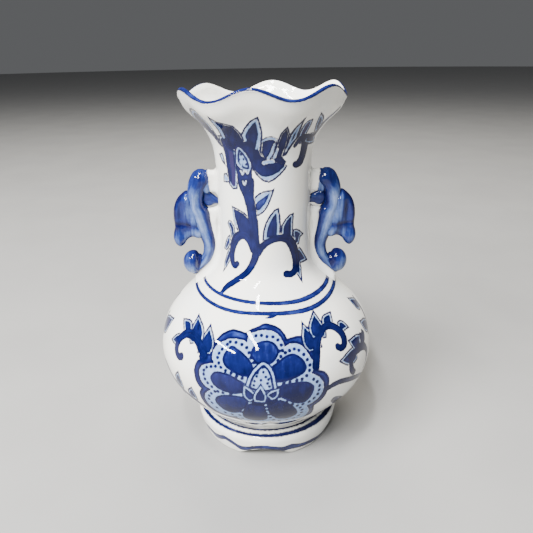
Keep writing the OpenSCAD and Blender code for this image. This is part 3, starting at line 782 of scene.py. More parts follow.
class Nodes:
    """A node material, built with short calls."""

    def __init__(self, name):
        self.material = bpy.data.materials.new(name)
        self.material.use_nodes = True
        self.tree = self.material.node_tree
        self.tree.nodes.clear()

    def add(self, kind, inputs=(), **settings):
        node = self.tree.nodes.new(kind)
        for key, value in settings.items():
            setattr(node, key, value)
        for key, value in dict(inputs).items():
            self.feed(node.inputs[key], value)
        return node

    def feed(self, socket, value):
        if isinstance(value, bpy.types.NodeSocket):
            self.tree.links.new(value, socket)
        else:
            socket.default_value = value

    def math(self, operation, *values, clamp=False):
        node = self.add("ShaderNodeMath", operation=operation, use_clamp=clamp)
        for socket, value in zip(node.inputs, values):
            self.feed(socket, value)
        return node.outputs[0]

    def attribute(self, name, output="Fac"):
        return self.add("ShaderNodeAttribute", attribute_name=name).outputs[output]

    def ramp_to(self, value, low, high, out_low=0.0, out_high=1.0):
        node = self.add("ShaderNodeMapRange", {
            "Value": value, "From Min": low, "From Max": high, "To Min": out_low, "To Max": out_high,
        }, interpolation_type="SMOOTHSTEP")
        return node.outputs[0]

    def mix(self, factor, a, b):
        node = self.add("ShaderNodeMix", data_type="RGBA")
        self.feed(node.inputs["Factor"], factor)
        for socket, value in ((node.inputs[6], a), (node.inputs[7], b)):
            self.feed(socket, value if isinstance(value, bpy.types.NodeSocket) else (*value, 1))
        return node.outputs[2]

    def swing(self, value, size):
        """A value from 0 to 1, turned into one from -size / 2 to size / 2."""
        return self.math("MULTIPLY", self.math("SUBTRACT", value, 0.5), size)

    def noise(self, vector, scale, detail=2.0, rough=0.5):
        node = self.add("ShaderNodeTexNoise", {"Scale": scale, "Detail": detail, "Roughness": rough})
        if vector is not None:
            self.feed(node.inputs["Vector"], vector)
        return node.outputs["Fac"]

    def place(self):
        """The point of the surface, in millimetres."""
        geometry = self.add("ShaderNodeTexCoord").outputs["Object"]
        node = self.add("ShaderNodeVectorMath", operation="SCALE")
        self.feed(node.inputs[0], geometry)
        node.inputs["Scale"].default_value = 1 / MM
        return node.outputs[0]

    def finish(self, color, roughness, bump_height, bump_distance):
        bump = self.add("ShaderNodeBump", {"Height": bump_height, "Distance": bump_distance, "Strength": 1.0})
        shader = self.add("ShaderNodeBsdfPrincipled", {
            "Base Color": color, "Roughness": roughness, "IOR": GLAZE_IOR, "Normal": bump.outputs[0]})
        self.add("ShaderNodeOutputMaterial", {"Surface": shader.outputs[0]})
        return self.material


WHITE = (0.80, 0.785, 0.725)
WHITE_COOL = (0.75, 0.76, 0.735)
PALE = (0.145, 0.235, 0.45)
PALE_LIGHT = (0.225, 0.32, 0.51)
BLUE_LIGHT = (0.026, 0.046, 0.20)
BLUE_MID = (0.0048, 0.0078, 0.066)
BLUE_DEEP = (0.0012, 0.0025, 0.029)
NAVY = (0.0014, 0.0022, 0.025)
NAVY_THIN = (0.005, 0.006, 0.055)
PURPLE = (0.020, 0.014, 0.060)
SPECK = (0.25, 0.24, 0.23)
# Handle wash, from thin to thick: place on the ramp, colour
WASH = ((0.0, (0.16, 0.22, 0.38)), (0.3, (0.055, 0.095, 0.24)), (0.60, (0.009, 0.018, 0.105)),
        (1.0, (0.003, 0.0035, 0.040)))
BLUES = ((0.0, BLUE_LIGHT), (0.5, BLUE_MID), (1.0, BLUE_DEEP))
GLAZE_IOR = 1.38


def colour_ramp(n, tone, stops):
    """Colour from a tone between 0 and 1; stops are (place, colour), in order."""
    ramp = n.add("ShaderNodeValToRGB", {"Fac": tone})
    ends = ramp.color_ramp.elements
    ends[0].position, ends[0].color = 0.0, (*stops[0][1], 1)
    ends[1].position, ends[1].color = 1.0, (*stops[-1][1], 1)
    for place, colour in stops[1:-1]:
        ends.new(place).color = (*colour, 1)
    return ramp.outputs[0]


def painted_material(name):
    n = Nodes(name)
    p = n.place()
    shift = n.math("ADD", n.swing(n.noise(p, 0.55, 3), 0.7), n.swing(n.noise(p, 2.2, 2), 0.35))

    def cover(layer, soft):
        """Where a layer covers the glaze, and its distance with an unsteady edge."""
        d = n.math("ADD", n.attribute(layer), shift)
        return n.ramp_to(d, -soft, soft, 1.0, 0.0), d

    pale, _ = cover("pale", 0.35)
    blue, blue_d = cover("blue", 0.3)
    dark, _ = cover("dark", 0.3)
    brush = n.attribute("brush", "Vector")
    stretch = n.add("ShaderNodeMapping", {"Vector": brush, "Scale": (0.4, 0.09, 1.0)}).outputs[0]
    streak = n.noise(stretch, 1.0, 3, 0.6)
    wash = n.noise(p, 0.16, 3, 0.55)
    pool = n.ramp_to(blue_d, -1.5, -0.2, 0.0, 0.3)
    tone = n.math("ADD", n.attribute("tone"), n.swing(streak, 0.95))
    tone = n.math("ADD", tone, n.swing(wash, 0.9))
    tone = n.math("ADD", tone, pool, clamp=True)
    blue_colour = n.mix(n.attribute("hue"), colour_ramp(n, tone, BLUES), PURPLE)
    white = n.mix(n.ramp_to(n.noise(p, 0.035, 2), 0.35, 0.7), WHITE, WHITE_COOL)
    pale_colour = n.mix(n.ramp_to(n.noise(p, 0.5, 3), 0.3, 0.75), PALE, PALE_LIGHT)
    colour = n.mix(pale, white, pale_colour)
    colour = n.mix(blue, colour, blue_colour)
    colour = n.mix(dark, colour, n.mix(n.ramp_to(streak, 0.35, 0.75), NAVY, NAVY_THIN))
    specks = n.ramp_to(n.noise(p, 1.3, 1), 0.78, 0.82)
    colour = n.mix(n.math("MULTIPLY", specks, 0.25), colour, SPECK)
    rough = n.ramp_to(n.noise(p, 0.12, 2), 0.3, 0.7, 0.015, 0.03)
    height = n.math("ADD", n.noise(p, 0.045, 1), n.math("MULTIPLY", n.noise(p, 0.5, 2), 0.02))
    return n.finish(colour, rough, height, 0.6 * MM)


def handle_material(name):
    n = Nodes(name)
    p = n.place()
    brush = n.attribute("brush", "Vector")
    stretch = n.add("ShaderNodeMapping", {"Vector": brush, "Scale": (0.55, 0.07, 1.0)}).outputs[0]
    streak = n.noise(stretch, 1.0, 4, 0.6)
    cloud = n.noise(p, 0.13, 3, 0.6)
    tone = n.math("ADD", n.attribute("tone"), n.swing(streak, 0.9))
    tone = n.math("ADD", tone, n.swing(cloud, 0.7), clamp=True)
    blue = colour_ramp(n, tone, WASH)
    white = n.mix(n.ramp_to(n.noise(p, 0.05, 2), 0.35, 0.7), WHITE, WHITE_COOL)
    edge = n.math("ADD", n.attribute("wash"), n.swing(n.noise(p, 0.6, 3), 1.2))
    colour = n.mix(n.ramp_to(edge, -0.5, 0.5), white, blue)
    rough = n.ramp_to(cloud, 0.3, 0.7, 0.04, 0.08)
    height = n.math("ADD", n.noise(p, 0.12, 2), n.math("MULTIPLY", n.noise(p, 0.7, 2), 0.06))
    return n.finish(colour, rough, height, 0.7 * MM)


# ---------------------------------------------------------------- handles

# Ribs across the trunk, from the crown to the tip: inner x, z, outer x, z, half thickness
TRUNK = np.array([
    (40.4, 198.4, 43.6, 198.4, 2.4), (37.0, 196.6, 47.0, 196.2, 5.0), (35.3, 193.6, 49.6, 191.8, 6.4),
    (35.3, 189.4, 51.1, 187.4, 6.6), (38.6, 184.8, 51.7, 183.0, 6.6), (40.6, 179.0, 51.6, 177.0, 6.6),
    (40.2, 174.4, 50.8, 171.0, 6.6), (37.6, 171.0, 49.9, 166.5, 6.5), (36.2, 164.5, 48.7, 161.8, 6.3),
    (34.8, 157.0, 47.0, 156.4, 6.0), (33.3, 150.5, 44.6, 150.4, 5.7), (33.4, 144.5, 43.0, 145.4, 5.4),
    (35.5, 137.6, 43.4, 140.2, 5.2), (39.4, 131.6, 45.3, 135.2, 5.0), (44.8, 127.6, 47.8, 130.2, 4.8),
    (48.8, 124.0, 50.4, 126.4, 4.4), (51.6, 123.2, 52.0, 124.4, 3.0)])
EAR = [(44.6, 150.4), (50, 151), (53.6, 149.2), (56, 145.8), (59, 144), (62, 146.2), (63.4, 150.6),
       (62.9, 154.8), (61.9, 159), (62.2, 166), (61.4, 172.6), (59.2, 178), (55.6, 182), (51.7, 184),
       (48, 180), (46, 172), (44, 162), (42, 154)]
LOBE = [(35.6, 193), (40, 193), (43, 190), (42.4, 186), (40.6, 182.6), (37.6, 182), (35.8, 184.6),
        (35.2, 189)]
STUB = [(26, 198.5), (33, 197.4), (39, 197.6), (41, 192), (39, 186.4), (36.6, 183.0), (32, 182.4), (26, 181)]
CURL = (50.7, 132.3)


def outline_distance(outline, x, z):
    """Signed distance in the XZ plane, negative inside."""
    p = np.asarray(outline, float)
    q = np.roll(p, -1, 0)
    ux, uz = p[:, 0] - x[..., None], p[:, 1] - z[..., None]
    vx, vz = q[:, 0] - p[:, 0], q[:, 1] - p[:, 1]
    t = np.clip(-(ux * vx + uz * vz) / (vx * vx + vz * vz + 1e-9), 0, 1)
    d = np.hypot(ux + t * vx, uz + t * vz).min(-1)
    cross = (p[:, 1] > z[..., None]) != (q[:, 1] > z[..., None])
    at = p[:, 0] + (z[..., None] - p[:, 1]) / np.where(vz == 0, 1e-9, vz) * vx
    inside = (cross & (x[..., None] < at)).sum(-1) % 2 == 1
    return np.where(inside, -d, d)


def line_field(path, x, z):
    """Distance to a line in the XZ plane, sideways offset, length along it, and the path's extra values."""
    p, q = path[:-1], path[1:]
    ux, uz = p[:, 0] - x[..., None], p[:, 1] - z[..., None]
    vx, vz = q[:, 0] - p[:, 0], q[:, 1] - p[:, 1]
    ll = vx * vx + vz * vz + 1e-9
    t = np.clip(-(ux * vx + uz * vz) / ll, 0, 1)
    d = np.hypot(ux + t * vx, uz + t * vz)
    k = d.argmin(-1)
    pick = lambda v: np.take_along_axis(v, k[..., None], -1)[..., 0]
    length = np.sqrt(ll)
    start = np.concatenate([[0], np.cumsum(length)])
    along = start[k] + pick(t) * length[k]
    side = pick((uz * vx - ux * vz) / length)
    extra = [p[k, c] * (1 - pick(t)) + q[k, c] * pick(t) for c in range(2, path.shape[1])]
    return pick(d), side, along, extra


def smooth_min(a, b, k):
    h = np.clip(0.5 + 0.5 * (b - a) / k, 0, 1)
    return b * (1 - h) + a * h - k * h * (1 - h)


def smooth_max(a, b, k):
    return -smooth_min(-a, -b, k)


def pillow(flat, half, thick, power=2.4):
    """Plump solid over a flat outline. flat is the signed distance, half how far in it is fullest."""
    q = np.clip(1 + flat / half, 0, None)
    y = np.abs(thick[0]) / thick[1]
    return (np.power(q ** power + y ** power, 1 / power) - 1) * np.minimum(half, thick[1])


def surface_net(field, low, cell):
    """Closed mesh of a sampled field's zero surface: points, quads and outward normals."""
    inside = field < 0
    nx, ny, nz = field.shape
    total = np.zeros((nx - 1, ny - 1, nz - 1, 3))
    count = np.zeros((nx - 1, ny - 1, nz - 1))
    shape = np.array(field.shape)
    quads = []
    for axis in range(3):
        a = [slice(None)] * 3
        b = [slice(None)] * 3
        a[axis], b[axis] = slice(0, -1), slice(1, None)
        fa, fb = field[tuple(a)], field[tuple(b)]
        hit = inside[tuple(a)] != inside[tuple(b)]
        i = np.argwhere(hit)
        t = (fa[hit] / (fa[hit] - fb[hit]))
        point = i.astype(float)
        point[:, axis] += t
        u, v = [k for k in range(3) if k != axis]
        corner = []
        for du, dv in ((-1, -1), (0, -1), (0, 0), (-1, 0)):
            j = i.copy()
            j[:, u] += du
            j[:, v] += dv
            ok = (j >= 0).all(1) & (j < shape - 1).all(1)
            np.add.at(total, tuple(j[ok].T), point[ok])
            np.add.at(count, tuple(j[ok].T), 1)
            corner.append(j)
        quad = np.stack(corner, 1)
        ok = (quad >= 0).all((1, 2)) & (quad < shape - 1).all((1, 2))
        flip = inside[tuple(a)][hit] ^ (axis == 1)
        quad = np.where(flip[:, None, None], quad, quad[:, ::-1])
        quads.append(quad[ok])
    quads = np.concatenate(quads)
    used = count > 0
    number = np.full(used.shape, -1)
    number[used] = np.arange(used.sum())
    points = total[used] / count[used][:, None]
    faces = number[tuple(np.moveaxis(quads, -1, 0))]
    grad = np.stack(np.gradient(field), -1)

    def sample(values, p):
        j = np.clip(np.floor(p).astype(int), 0, shape - 2)
        f = p - j
        out = 0
        for dx in (0, 1):
            for dy in (0, 1):
                for dz in (0, 1):
                    w = ((f[:, 0] if dx else 1 - f[:, 0]) * (f[:, 1] if dy else 1 - f[:, 1])
                         * (f[:, 2] if dz else 1 - f[:, 2]))
                    v = values[j[:, 0] + dx, j[:, 1] + dy, j[:, 2] + dz]
                    out = out + (w[:, None] * v if v.ndim > 1 else w * v)
        return out

    for _ in range(2):
        g = sample(grad, points)
        step = sample(field, points)[:, None] * g / (np.sum(g * g, 1, keepdims=True) + 1e-6)
        points = points - np.clip(step, -0.4, 0.4)
    normal = sample(grad, points)
    normal /= np.linalg.norm(normal, axis=1, keepdims=True) + 1e-9
    return points * cell + low, faces, normal


def body_distance(x, y, z):
    """Signed distance to the body's outer surface, close to it."""
    zz = np.clip(z, FOOT_H, LIP_Z)
    lean = (body_r(zz + 0.5) - body_r(zz - 0.5))
    return (np.hypot(x, y) - body_r(zz)) / np.sqrt(1 + lean * lean)


TRUNK_PATH = spline(np.column_stack([(TRUNK[:, 0] + TRUNK[:, 2]) / 2, (TRUNK[:, 1] + TRUNK[:, 3]) / 2,
                                     np.hypot(TRUNK[:, 2] - TRUNK[:, 0], TRUNK[:, 3] - TRUNK[:, 1]) / 2,
                                     TRUNK[:, 4]]), 5)
INNER = spline(TRUNK[:, :2], 5)
OUTER = spline(TRUNK[:, 2:4], 5)
TRUNK_OUTLINE = np.concatenate([OUTER, INNER[::-1]])


class Part:
    """One handle piece: its field sampled on a grid, made into a closed mesh."""

    def __init__(self, low, high, cell=0.5):
        self.low = np.array(low, float)
        self.cell = cell
        n = np.ceil((np.array(high) - self.low) / cell).astype(int) + 1
        self.ax = [self.low[k] + cell * np.arange(n[k]) for k in range(3)]
        self.x, self.y, self.z = np.meshgrid(*self.ax, indexing="ij", sparse=True)
        self.fx, self.fz = np.meshgrid(self.ax[0], self.ax[2], indexing="ij")

    def flat(self, values):
        return values[:, None, :]

    def mesh(self, field):
        field = np.array(np.broadcast_to(field, (len(self.ax[0]), len(self.ax[1]), len(self.ax[2]))))
        for axis in range(3):
            edge = [slice(None)] * 3
            for end in (0, -1):
                edge[axis] = end
                field[tuple(edge)] = np.maximum(field[tuple(edge)], 0.2)
        return surface_net(field, self.low, self.cell)


def trunk_field(g):
    flat = outline_distance(TRUNK_OUTLINE, g.fx, g.fz)
    _, side, along, (half, thick) = line_field(TRUNK_PATH, g.fx, g.fz)
    half = np.maximum(half, 1.6)
    body = pillow(g.flat(flat), g.flat(half), (g.y, g.flat(thick)), 2.2)
    # a soft hollow down the trunk, on the side towards the neck
    valley = (np.exp(-((side - 0.30 * half) / 1.3) ** 2) * smoothstep((along - 12) / 8)
              * smoothstep((52 - along) / 10))
    return body + g.flat(0.55 * valley)


def trunk_part():
    g = Part((33, -8.5, 121.5), (54, 8.5, 200.5))
    return g.mesh(trunk_field(g))


def ear_part():
    g = Part((40, -6, 142), (65.5, 6, 186))
    flat = outline_distance(spline(EAR, 5, closed=True), g.fx, g.fz)
    x, z = g.fx, g.fz
    # thinner towards the free edge, fuller at the lower lobe, with folds that hang from the head
    by_trunk = np.clip(1 - outline_distance(TRUNK_OUTLINE, x, z) / 7, 0, 1)
    thick = 3.0 + 3.0 * smoothstep(by_trunk) * smoothstep((185 - z) / 8)
    thick = thick + 1.3 * np.exp(-(((x - 58.8) / 4.5) ** 2 + ((z - 149) / 4.6) ** 2))
    fold = (0.40 * np.sin((x - 46) * 1.0 + (z - 165) * 0.12) * smoothstep((z - 154) / 5)
            * smoothstep((180 - z) / 6))
    crease = 0.55 * np.exp(-((z - 160.4 - 0.06 * (x - 55)) / 1.3) ** 2)
    thick = np.maximum(thick + fold - crease, 0.8)
    f = pillow(g.flat(flat), 3.4, (g.y, g.flat(thick)), 2.0)
    return g.mesh(f)


def curl_part():
    g = Part((42, -9, 122), (59.5, 9, 142.5), 0.4)
    x, y, z = g.x - CURL[0], g.y, g.z - CURL[1]
    f = (np.sqrt((x / 7.3) ** 2 + (y / 7.0) ** 2 + (z / 8.6) ** 2) - 1) * 7.0
    # the groove between the ball and the trunk that rolls round it
    px, pz = g.fx - CURL[0], g.fz - CURL[1]
    groove = np.exp(-((px + 3.6 + 0.06 * pz) / 1.0) ** 2) * smoothstep((pz + 5) / 4)
    f = f + g.flat(0.8 * groove)
    return g.mesh(f)


def stub_part():
    g = Part((26, -9, 176), (44, 9, 204))
    flat = outline_distance(spline(STUB, 4, closed=True), g.fx, g.fz)
    plate = pillow(g.flat(flat), 3.0, (g.y, 3.6), 2.2)
    lobe = pillow(g.flat(outline_distance(spline(LOBE, 4, closed=True), g.fx, g.fz)), 2.6, (g.y, 4.4), 2.0)
    f = smooth_min(plate, lobe, 1.2)
    skin = body_distance(g.x, g.y, g.z) + SINK
    f = smooth_min(f, skin, 4.0)
    f = np.maximum(f, -(skin + ROOT_DEPTH))
    return g.mesh(f)


def web_part():
    g = Part((26, -9.5, 112), (50, 9.5, 176))
    outline = np.concatenate([
        [(26, 172), (33, 172.6), (38.6, 171.6)],
        spline([(37.6, 168), (38, 164), (37.4, 157), (36.8, 150.5), (37.2, 144.5), (39.2, 138.6),
                (42.6, 133), (46.4, 128.4), (49.6, 124.8), (50.6, 122)], 3), [(49, 116), (40, 112),
                (26, 112)]])
    flat = outline_distance(outline, g.fx, g.fz)
    plate = pillow(g.flat(flat), 3.2, (g.y, 3.5), 2.4)
    skin = body_distance(g.x, g.y, g.z) + SINK
    f = smooth_min(plate, skin, 4.5)
    # a long dimple on each face beside the neck
    for face in (-1, 1):
        hollow = (np.sqrt(((g.x - 31.9) / 1.5) ** 2 + ((g.y - face * 5.4) / 3.2) ** 2
                          + ((g.z - 158.5) / 9.5) ** 2) - 1) * 1.5
        f = smooth_max(f, -hollow, 0.8)
    f = np.maximum(f, -(skin + ROOT_DEPTH))
    return g.mesh(f)


def tusk_part(tip):
    g = Part((26, -4.5, 170.5), (43, 4.5, 186))
    outline = [(41.6, 177), (41.2, 181), (40.4, 183.4), (38.5, 183.8), (36, 182.8), (32, tip + 0.6),
               (30.2, tip - 0.4), (29, tip - 1.6), (29, 175.4), (30.2, 174.6), (33.5, 174.6), (36, 173.2),
               (38.4, 173.2), (40.4, 174.8)]
    flat = outline_distance(spline(outline, 3, closed=True), g.fx, g.fz)
    return g.mesh(pillow(g.flat(flat), 2.2, (g.y, 2.5), 2.2))


def trunk_paint(p):
    x, z = p[:, 0], p[:, 2]
    _, side, along, (half, _) = line_field(TRUNK_PATH, x, z)
    s = side / half
    tone = np.full(len(p), 0.34)
    tone += 0.45 * np.exp(-((along - 4) / 9) ** 2)                      # crown
    # painted shade: a dark band along the inner edge, beside the neck
    tone += 0.60 * np.exp(-((s - 0.85) / 0.45) ** 2) * smoothstep((z - 136) / 16) * smoothstep((192 - z) / 8)
    # painted shade in the crease where the trunk meets the ear
    tone += 0.10 * np.exp(-((s + 0.9) / 0.25) ** 2) * smoothstep((along - 8) / 8)
    tone += 0.16 * smoothstep((160 - z) / 8)
    # painted highlight: lighter along the trunk's rounded ridge
    tone -= 0.26 * np.exp(-((s + 0.15) / 0.38) ** 2) * smoothstep((along - 12) / 8)
    tone += 0.25 * smoothstep((132 - z) / 8)
    return tone, np.full(len(p), 3.0), np.stack([side, along, np.zeros(len(p))], -1)


def ear_paint(p):
    x, z = p[:, 0], p[:, 2]
    flat = outline_distance(spline(EAR, 5, closed=True), x, z)
    tone = 0.68 + 0.25 * np.exp(-((flat + 0.3) / 1.6) ** 2) * smoothstep((z - 152) / 4)
    tone += 0.15 * smoothstep((z - 168) / 12)
    # painted shade in the crease across the ear
    tone += 0.30 * np.exp(-((z - 160.4 - 0.06 * (x - 55)) / 1.8) ** 2)
    tone -= 0.16 * smoothstep((158 - z) / 3)
    tone -= 0.36 * smoothstep(1 - outline_distance(TRUNK_OUTLINE, x, z) / 4.5)
    tone += 0.2 * np.exp(-((flat + 0.2) / 1.0) ** 2)
    return tone, np.full(len(p), 3.0), np.stack([x, z * 0.6, np.full(len(p), 5.0)], -1)


def curl_paint(p):
    px, pz = p[:, 0] - CURL[0], p[:, 2] - CURL[1]
    # the last term is painted shade in the groove between the ball and the trunk
    tone = 0.62 - 0.035 * px + 0.04 * pz + 0.3 * np.exp(-(((px + 4) / 3) ** 2 + ((pz - 2) / 6) ** 2))
    tone -= 0.25 * np.exp(-(((px - 1) / 3) ** 2 + ((pz + 3.5) / 3) ** 2))
    return tone, np.full(len(p), 3.0), np.stack([px, pz, np.full(len(p), 9.0)], -1)


def stub_paint(p):
    x, z = p[:, 0], p[:, 2]
    wash = x - 36.3 + 0.10 * (190 - z)
    # the last term is painted shade, darkening the lobe towards the slit by the trunk
    tone = 0.30 + 0.4 * smoothstep((z - 190) / 6) + 0.3 * smoothstep((x - 39) / 2)
    return tone, wash, np.stack([x, z, np.full(len(p), 3.0)], -1)


def web_paint(p):
    return np.zeros(len(p)), np.full(len(p), -3.0), np.stack([p[:, 0], p[:, 2], p[:, 1]], -1)


def tusk_paint(p):
    x, z = p[:, 0], p[:, 2]
    # painted shade: darker towards the end by the trunk, under the head
    tone = 0.62 + 0.15 * smoothstep((x - 37) / 3)
    return tone, np.full(len(p), 3.0), np.stack([z, x, np.full(len(p), 4.0)], -1)


HANDLE_PARTS = [
    ("trunk", trunk_part, trunk_paint, "blue_wash_glaze"),
    ("ear", ear_part, ear_paint, "blue_wash_glaze"),
    ("curl", curl_part, curl_paint, "blue_wash_glaze"),
    ("stub", stub_part, stub_paint, "white_glaze"),
    ("web", web_part, web_paint, "white_glaze"),
]


def handle_pieces(material):
    jobs = [(kind, make(), paint, slot, side)
            for kind, make, paint, slot in HANDLE_PARTS for side in ("right", "left")]
    jobs += [("tusk", tusk_part(180.4), tusk_paint, "dark_blue_glaze", "right"),
             ("tusk", tusk_part(178.6), tusk_paint, "dark_blue_glaze", "left")]
    for kind, (points, quads, normals), paint, slot, side in jobs:
        tone, wash, brush = paint(points)
        if side == "left":
            points = points * (-1, 1, 1)
            normals = normals * (-1, 1, 1)
            quads = quads[:, ::-1]
            brush = brush + (3.1, 17.0, 0)
        piece = make_mesh(f"handle_{kind}_{side}", points, quads, None, normals, {"tone": tone, "wash": wash},
                          {"brush": brush})
        finish_piece(piece, material, f"{kind}_{side}")


# ---------------------------------------------------------------- body pieces, painted

def body_pieces(material):
    outer = []
    for t in TURNED:
        i, j = t.first, t.first + t.count
        r, z, a = t.rr[:, i:j], t.zz[:, i:j], t.aa[:, i:j]
        zc = np.clip(z, FOOT_H + 0.5, LIP_Z - 0.5)
        lean = np.sqrt(1 + (body_r(zc + 0.5) - body_r(zc - 0.5)) ** 2)
        lean = np.where(z < FOOT_H, 1.0, lean)
        outer.append([v.ravel() for v in (a, z, r, lean)])
    c = Canvas(*[np.concatenate([o[k] for o in outer]) for k in range(4)])
    c.start = np.cumsum([0] + [len(o[0]) for o in outer])
    paint(c)
    foot_paint(c, slice(c.start[0], c.start[1]))
    nodes = ("foot_ring", "lower_belly", "upper_belly", "neck", "ruffled_mouth")
    for k, (t, node) in enumerate(zip(TURNED, nodes)):
        part = slice(c.start[k], c.start[k + 1])
        shape = t.rr.shape
        i, j = t.first, t.first + t.count

        def spread(values, rest):
            full = np.full(shape + values.shape[1:], float(rest))
            full[:, i:j] = values.reshape((shape[0], j - i) + values.shape[1:])
            return full

        floats = {name: spread(c.d[name][part], FAR) for name in c.LAYERS}
        floats["tone"] = spread(c.tone[part], 0.5)
        floats["hue"] = spread(c.hue[part], 0.0)
        brush = spread(c.brush[part], 0.0)
        if node == "ruffled_mouth":
            lip_line(t, floats, brush)
        floats = {name: v.ravel() for name, v in floats.items()}
        piece = t.build(floats, {"brush": brush.reshape(-1, 3)})
        finish_piece(piece, material, node)


def lip_line(t, floats, brush):
    s = np.broadcast_to(t.lip_s, t.rr.shape)
    wander = 0.25 * np.sin(np.radians(t.aa * 5 + 40)) + 0.2 * np.sin(np.radians(t.aa * 11))
    d = np.abs(s - 0.1) - 1.45 - wander
    floats["blue"][:] = np.minimum(floats["blue"], np.clip(d, -FAR, FAR))
    hit = d < 1.0
    floats["tone"][hit] = 0.4
    brush[hit] = np.stack([s, t.aa * 0.94, np.full(s.shape, 50.0)], -1)[hit]


def foot_paint(c, part):
    i = np.arange(part.start, part.stop)
    a, z = c.all_a[i], c.z[i]
    wave = spline([(-192, 9), (-181, 11), (-170, 9), (-158, 7), (-146, 8.6), (-134, 5.6), (-122, 5),
                   (-112, 6.4), (-102, 9), (-92, 11), (-82, 9.4), (-72, 7), (-62, 7.4), (-54.6, 8.7),
                   (-47.6, 7.4), (-41, 9), (-35.6, 11.4), (-28.6, 9.7), (-22.4, 6.6), (-16.6, 7.4),
                   (-10, 10), (-1.6, 10.9), (5.2, 9.4), (11.4, 7.4), (18.6, 8.2), (25.8, 6.5), (31.2, 5.6),
                   (37, 5.2), (45.6, 3.8), (53.6, 4), (62, 4.8), (70, 6.6), (79, 9.4), (88, 11), (97, 9.2),
                   (105, 7), (114, 8), (125, 6.4), (137, 4.4), (148, 6), (158, 7), (168, 9), (179, 11),
                   (190, 9)], 6)
    thick = np.array([(-180, 2.4), (-146, 3.6), (-122, 2.4), (-92, 2.2), (-62, 3.6), (-47, 4.2), (-35, 2.6),
                      (-22, 3.8), (-10, 2.4), (3, 2.4), (11, 3.8), (19, 4.6), (27, 3.4), (40, 3.2),
                      (50, 2.4), (70, 3.0), (88, 2.2), (114, 4), (137, 2.6), (158, 3.8)])
    off = z - np.interp(a, wave[:, 0], wave[:, 1])
    half = np.interp(a, thick[:, 0], thick[:, 1], period=360) * 0.62 + 0.4
    c.put("blue", i, np.abs(off) - half, 0.4, off, a * 0.9)
    c.put("blue", i, np.abs(z - 19.6) - 0.85 - 0.2 * np.sin(np.radians(a * 2 - 40)), 0.55, z - 19.6, a * 0.9)
    c.put("blue", i, 21.35 - z, 0.6, z, a * 0.9)


white_paint = painted_material("painted_glaze")
wash_paint = handle_material("washed_glaze")
body_pieces(white_paint)
handle_pieces(wash_paint)


# ---------------------------------------------------------------- floor, light and camera

SENSOR = 36
FOCAL = 508 / 533     # the fitted focal length over the frame's width, both in pixels
TILT = 23.2           # degrees below the horizon
ROLL = -0.835
EYE = (0.95, -334, 270.7)
STRIP_FAR = 1500.0
STRIP_TARGET_Z = 110
FLOOR_LOW, FLOOR_HIGH = (0.245, 0.243, 0.238), (0.26, 0.258, 0.252)
ROOM_COLOUR, ROOM_LIGHT = (0.80, 0.82, 0.85, 1), 0.14


def floor():
    n = 48
    rings = np.array([0.12, 0.5, 1.2, 3.0, 8.0]) / MM
    t = np.radians(np.arange(n) * 360 / n)
    points = np.concatenate([[[0, 0, 0]]]
                            + [np.stack([r * np.cos(t), r * np.sin(t), 0 * t], -1) for r in rings])
    grid = 1 + np.arange(len(rings) * n).reshape(len(rings), n)
    nxt = np.roll(grid, -1, 1)
    quads = np.stack([grid[:-1], grid[1:], nxt[1:], nxt[:-1]], -1).reshape(-1, 4)
    tris = np.stack([np.zeros(n, int), grid[0], nxt[0]], -1)
    piece = make_mesh("floor", points, quads, tris)
    n = Nodes("floor_paper")
    p = n.place()
    colour = n.mix(n.ramp_to(n.noise(p, 0.01, 3), 0.3, 0.7), FLOOR_LOW, FLOOR_HIGH)
    shader = n.add("ShaderNodeBsdfPrincipled", {"Base Color": colour, "Roughness": 0.55})
    n.add("ShaderNodeOutputMaterial", {"Surface": shader.outputs[0]})
    piece.data.materials.append(n.material)


def area_light(name, size, power, colour=(1, 1, 1)):
    light = bpy.data.lights.new(name, "AREA")
    light.shape = "RECTANGLE"
    light.size, light.size_y = size[0] * MM, size[1] * MM
    light.energy = power
    light.color = colour
    obj = bpy.data.objects.new(name, light)
    bpy.context.scene.collection.objects.link(obj)
    return obj


def softbox(name, place, size, power, target, colour):
    """A large light that the glaze doesn't mirror."""
    obj = area_light(name, size, power, colour)
    obj.visible_glossy = False
    obj.location = Vector(place) * MM
    obj.rotation_euler = (Vector(target) - Vector(place)).to_track_quat("-Z", "Y").to_euler()


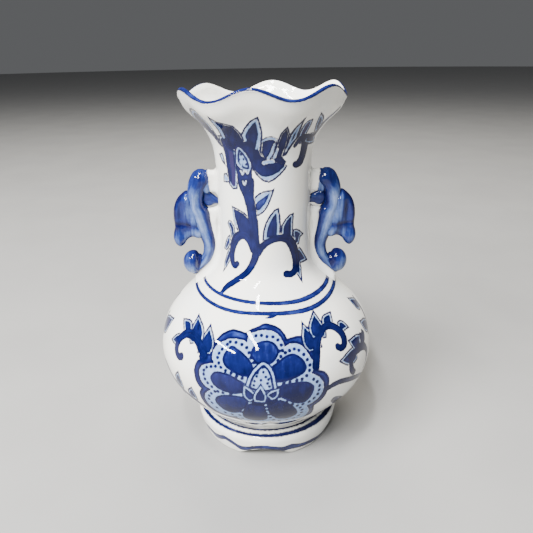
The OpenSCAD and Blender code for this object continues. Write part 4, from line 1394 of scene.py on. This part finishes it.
def camera():
    data = bpy.data.cameras.new("camera")
    data.sensor_width = SENSOR
    data.lens = FOCAL * SENSOR
    data.clip_start = 0.01
    obj = bpy.data.objects.new("camera", data)
    tilt, roll = math.radians(TILT), math.radians(ROLL)
    forward = Vector((0, math.cos(tilt), -math.sin(tilt)))
    up = Vector((0, math.sin(tilt), math.cos(tilt)))
    right = Vector((1, 0, 0))
    right_turned = math.cos(roll) * right + math.sin(roll) * up
    up_turned = -math.sin(roll) * right + math.cos(roll) * up
    m = Matrix((right_turned, up_turned, -forward)).transposed().to_4x4()
    m.translation = Vector(EYE) * MM
    obj.matrix_world = m
    bpy.context.scene.collection.objects.link(obj)
    bpy.context.scene.camera = obj


def world():
    w = bpy.data.worlds.new("studio")
    w.use_nodes = True
    w.node_tree.nodes["Background"].inputs["Color"].default_value = ROOM_COLOUR
    w.node_tree.nodes["Background"].inputs["Strength"].default_value = ROOM_LIGHT
    bpy.context.scene.world = w


def strip(name, ends, width, power):
    """A long thin light between two directions (azimuth, elevation), seen as a streak in the glaze."""
    target = Vector((0, 0, STRIP_TARGET_Z))
    places = []
    for azimuth, elevation in ends:
        a, e = math.radians(azimuth), math.radians(elevation)
        toward = Vector((math.cos(e) * math.sin(a), -math.cos(e) * math.cos(a), math.sin(e)))
        places.append(toward * STRIP_FAR + target)
    middle = (places[0] + places[1]) / 2
    along = places[1] - places[0]
    obj = area_light(name, (along.length, width), power)
    back = (middle - target).normalized()
    x = along.normalized()
    y = back.cross(x).normalized()
    m = Matrix((x, y, x.cross(y))).transposed().to_4x4()
    m.translation = middle * MM
    obj.matrix_world = m


floor()
world()
strip("key_strip", ((-11, 38), (-32, 58)), 84, 36.0)
strip("upper_strip", ((-20, 65), (-32, 76)), 80, 20.0)
strip("side_strip", ((-63, 33), (-36, 31)), 36, 26.0)
softbox("window", (-1100, -800, 1700), (900, 900), 102.0, target=(0, 0, 140), colour=(1, 0.99, 0.97))
softbox("top", (100, 900, 1600), (1300, 800), 40.0, target=(0, 0, 180), colour=(1, 0.95, 0.86))
camera()
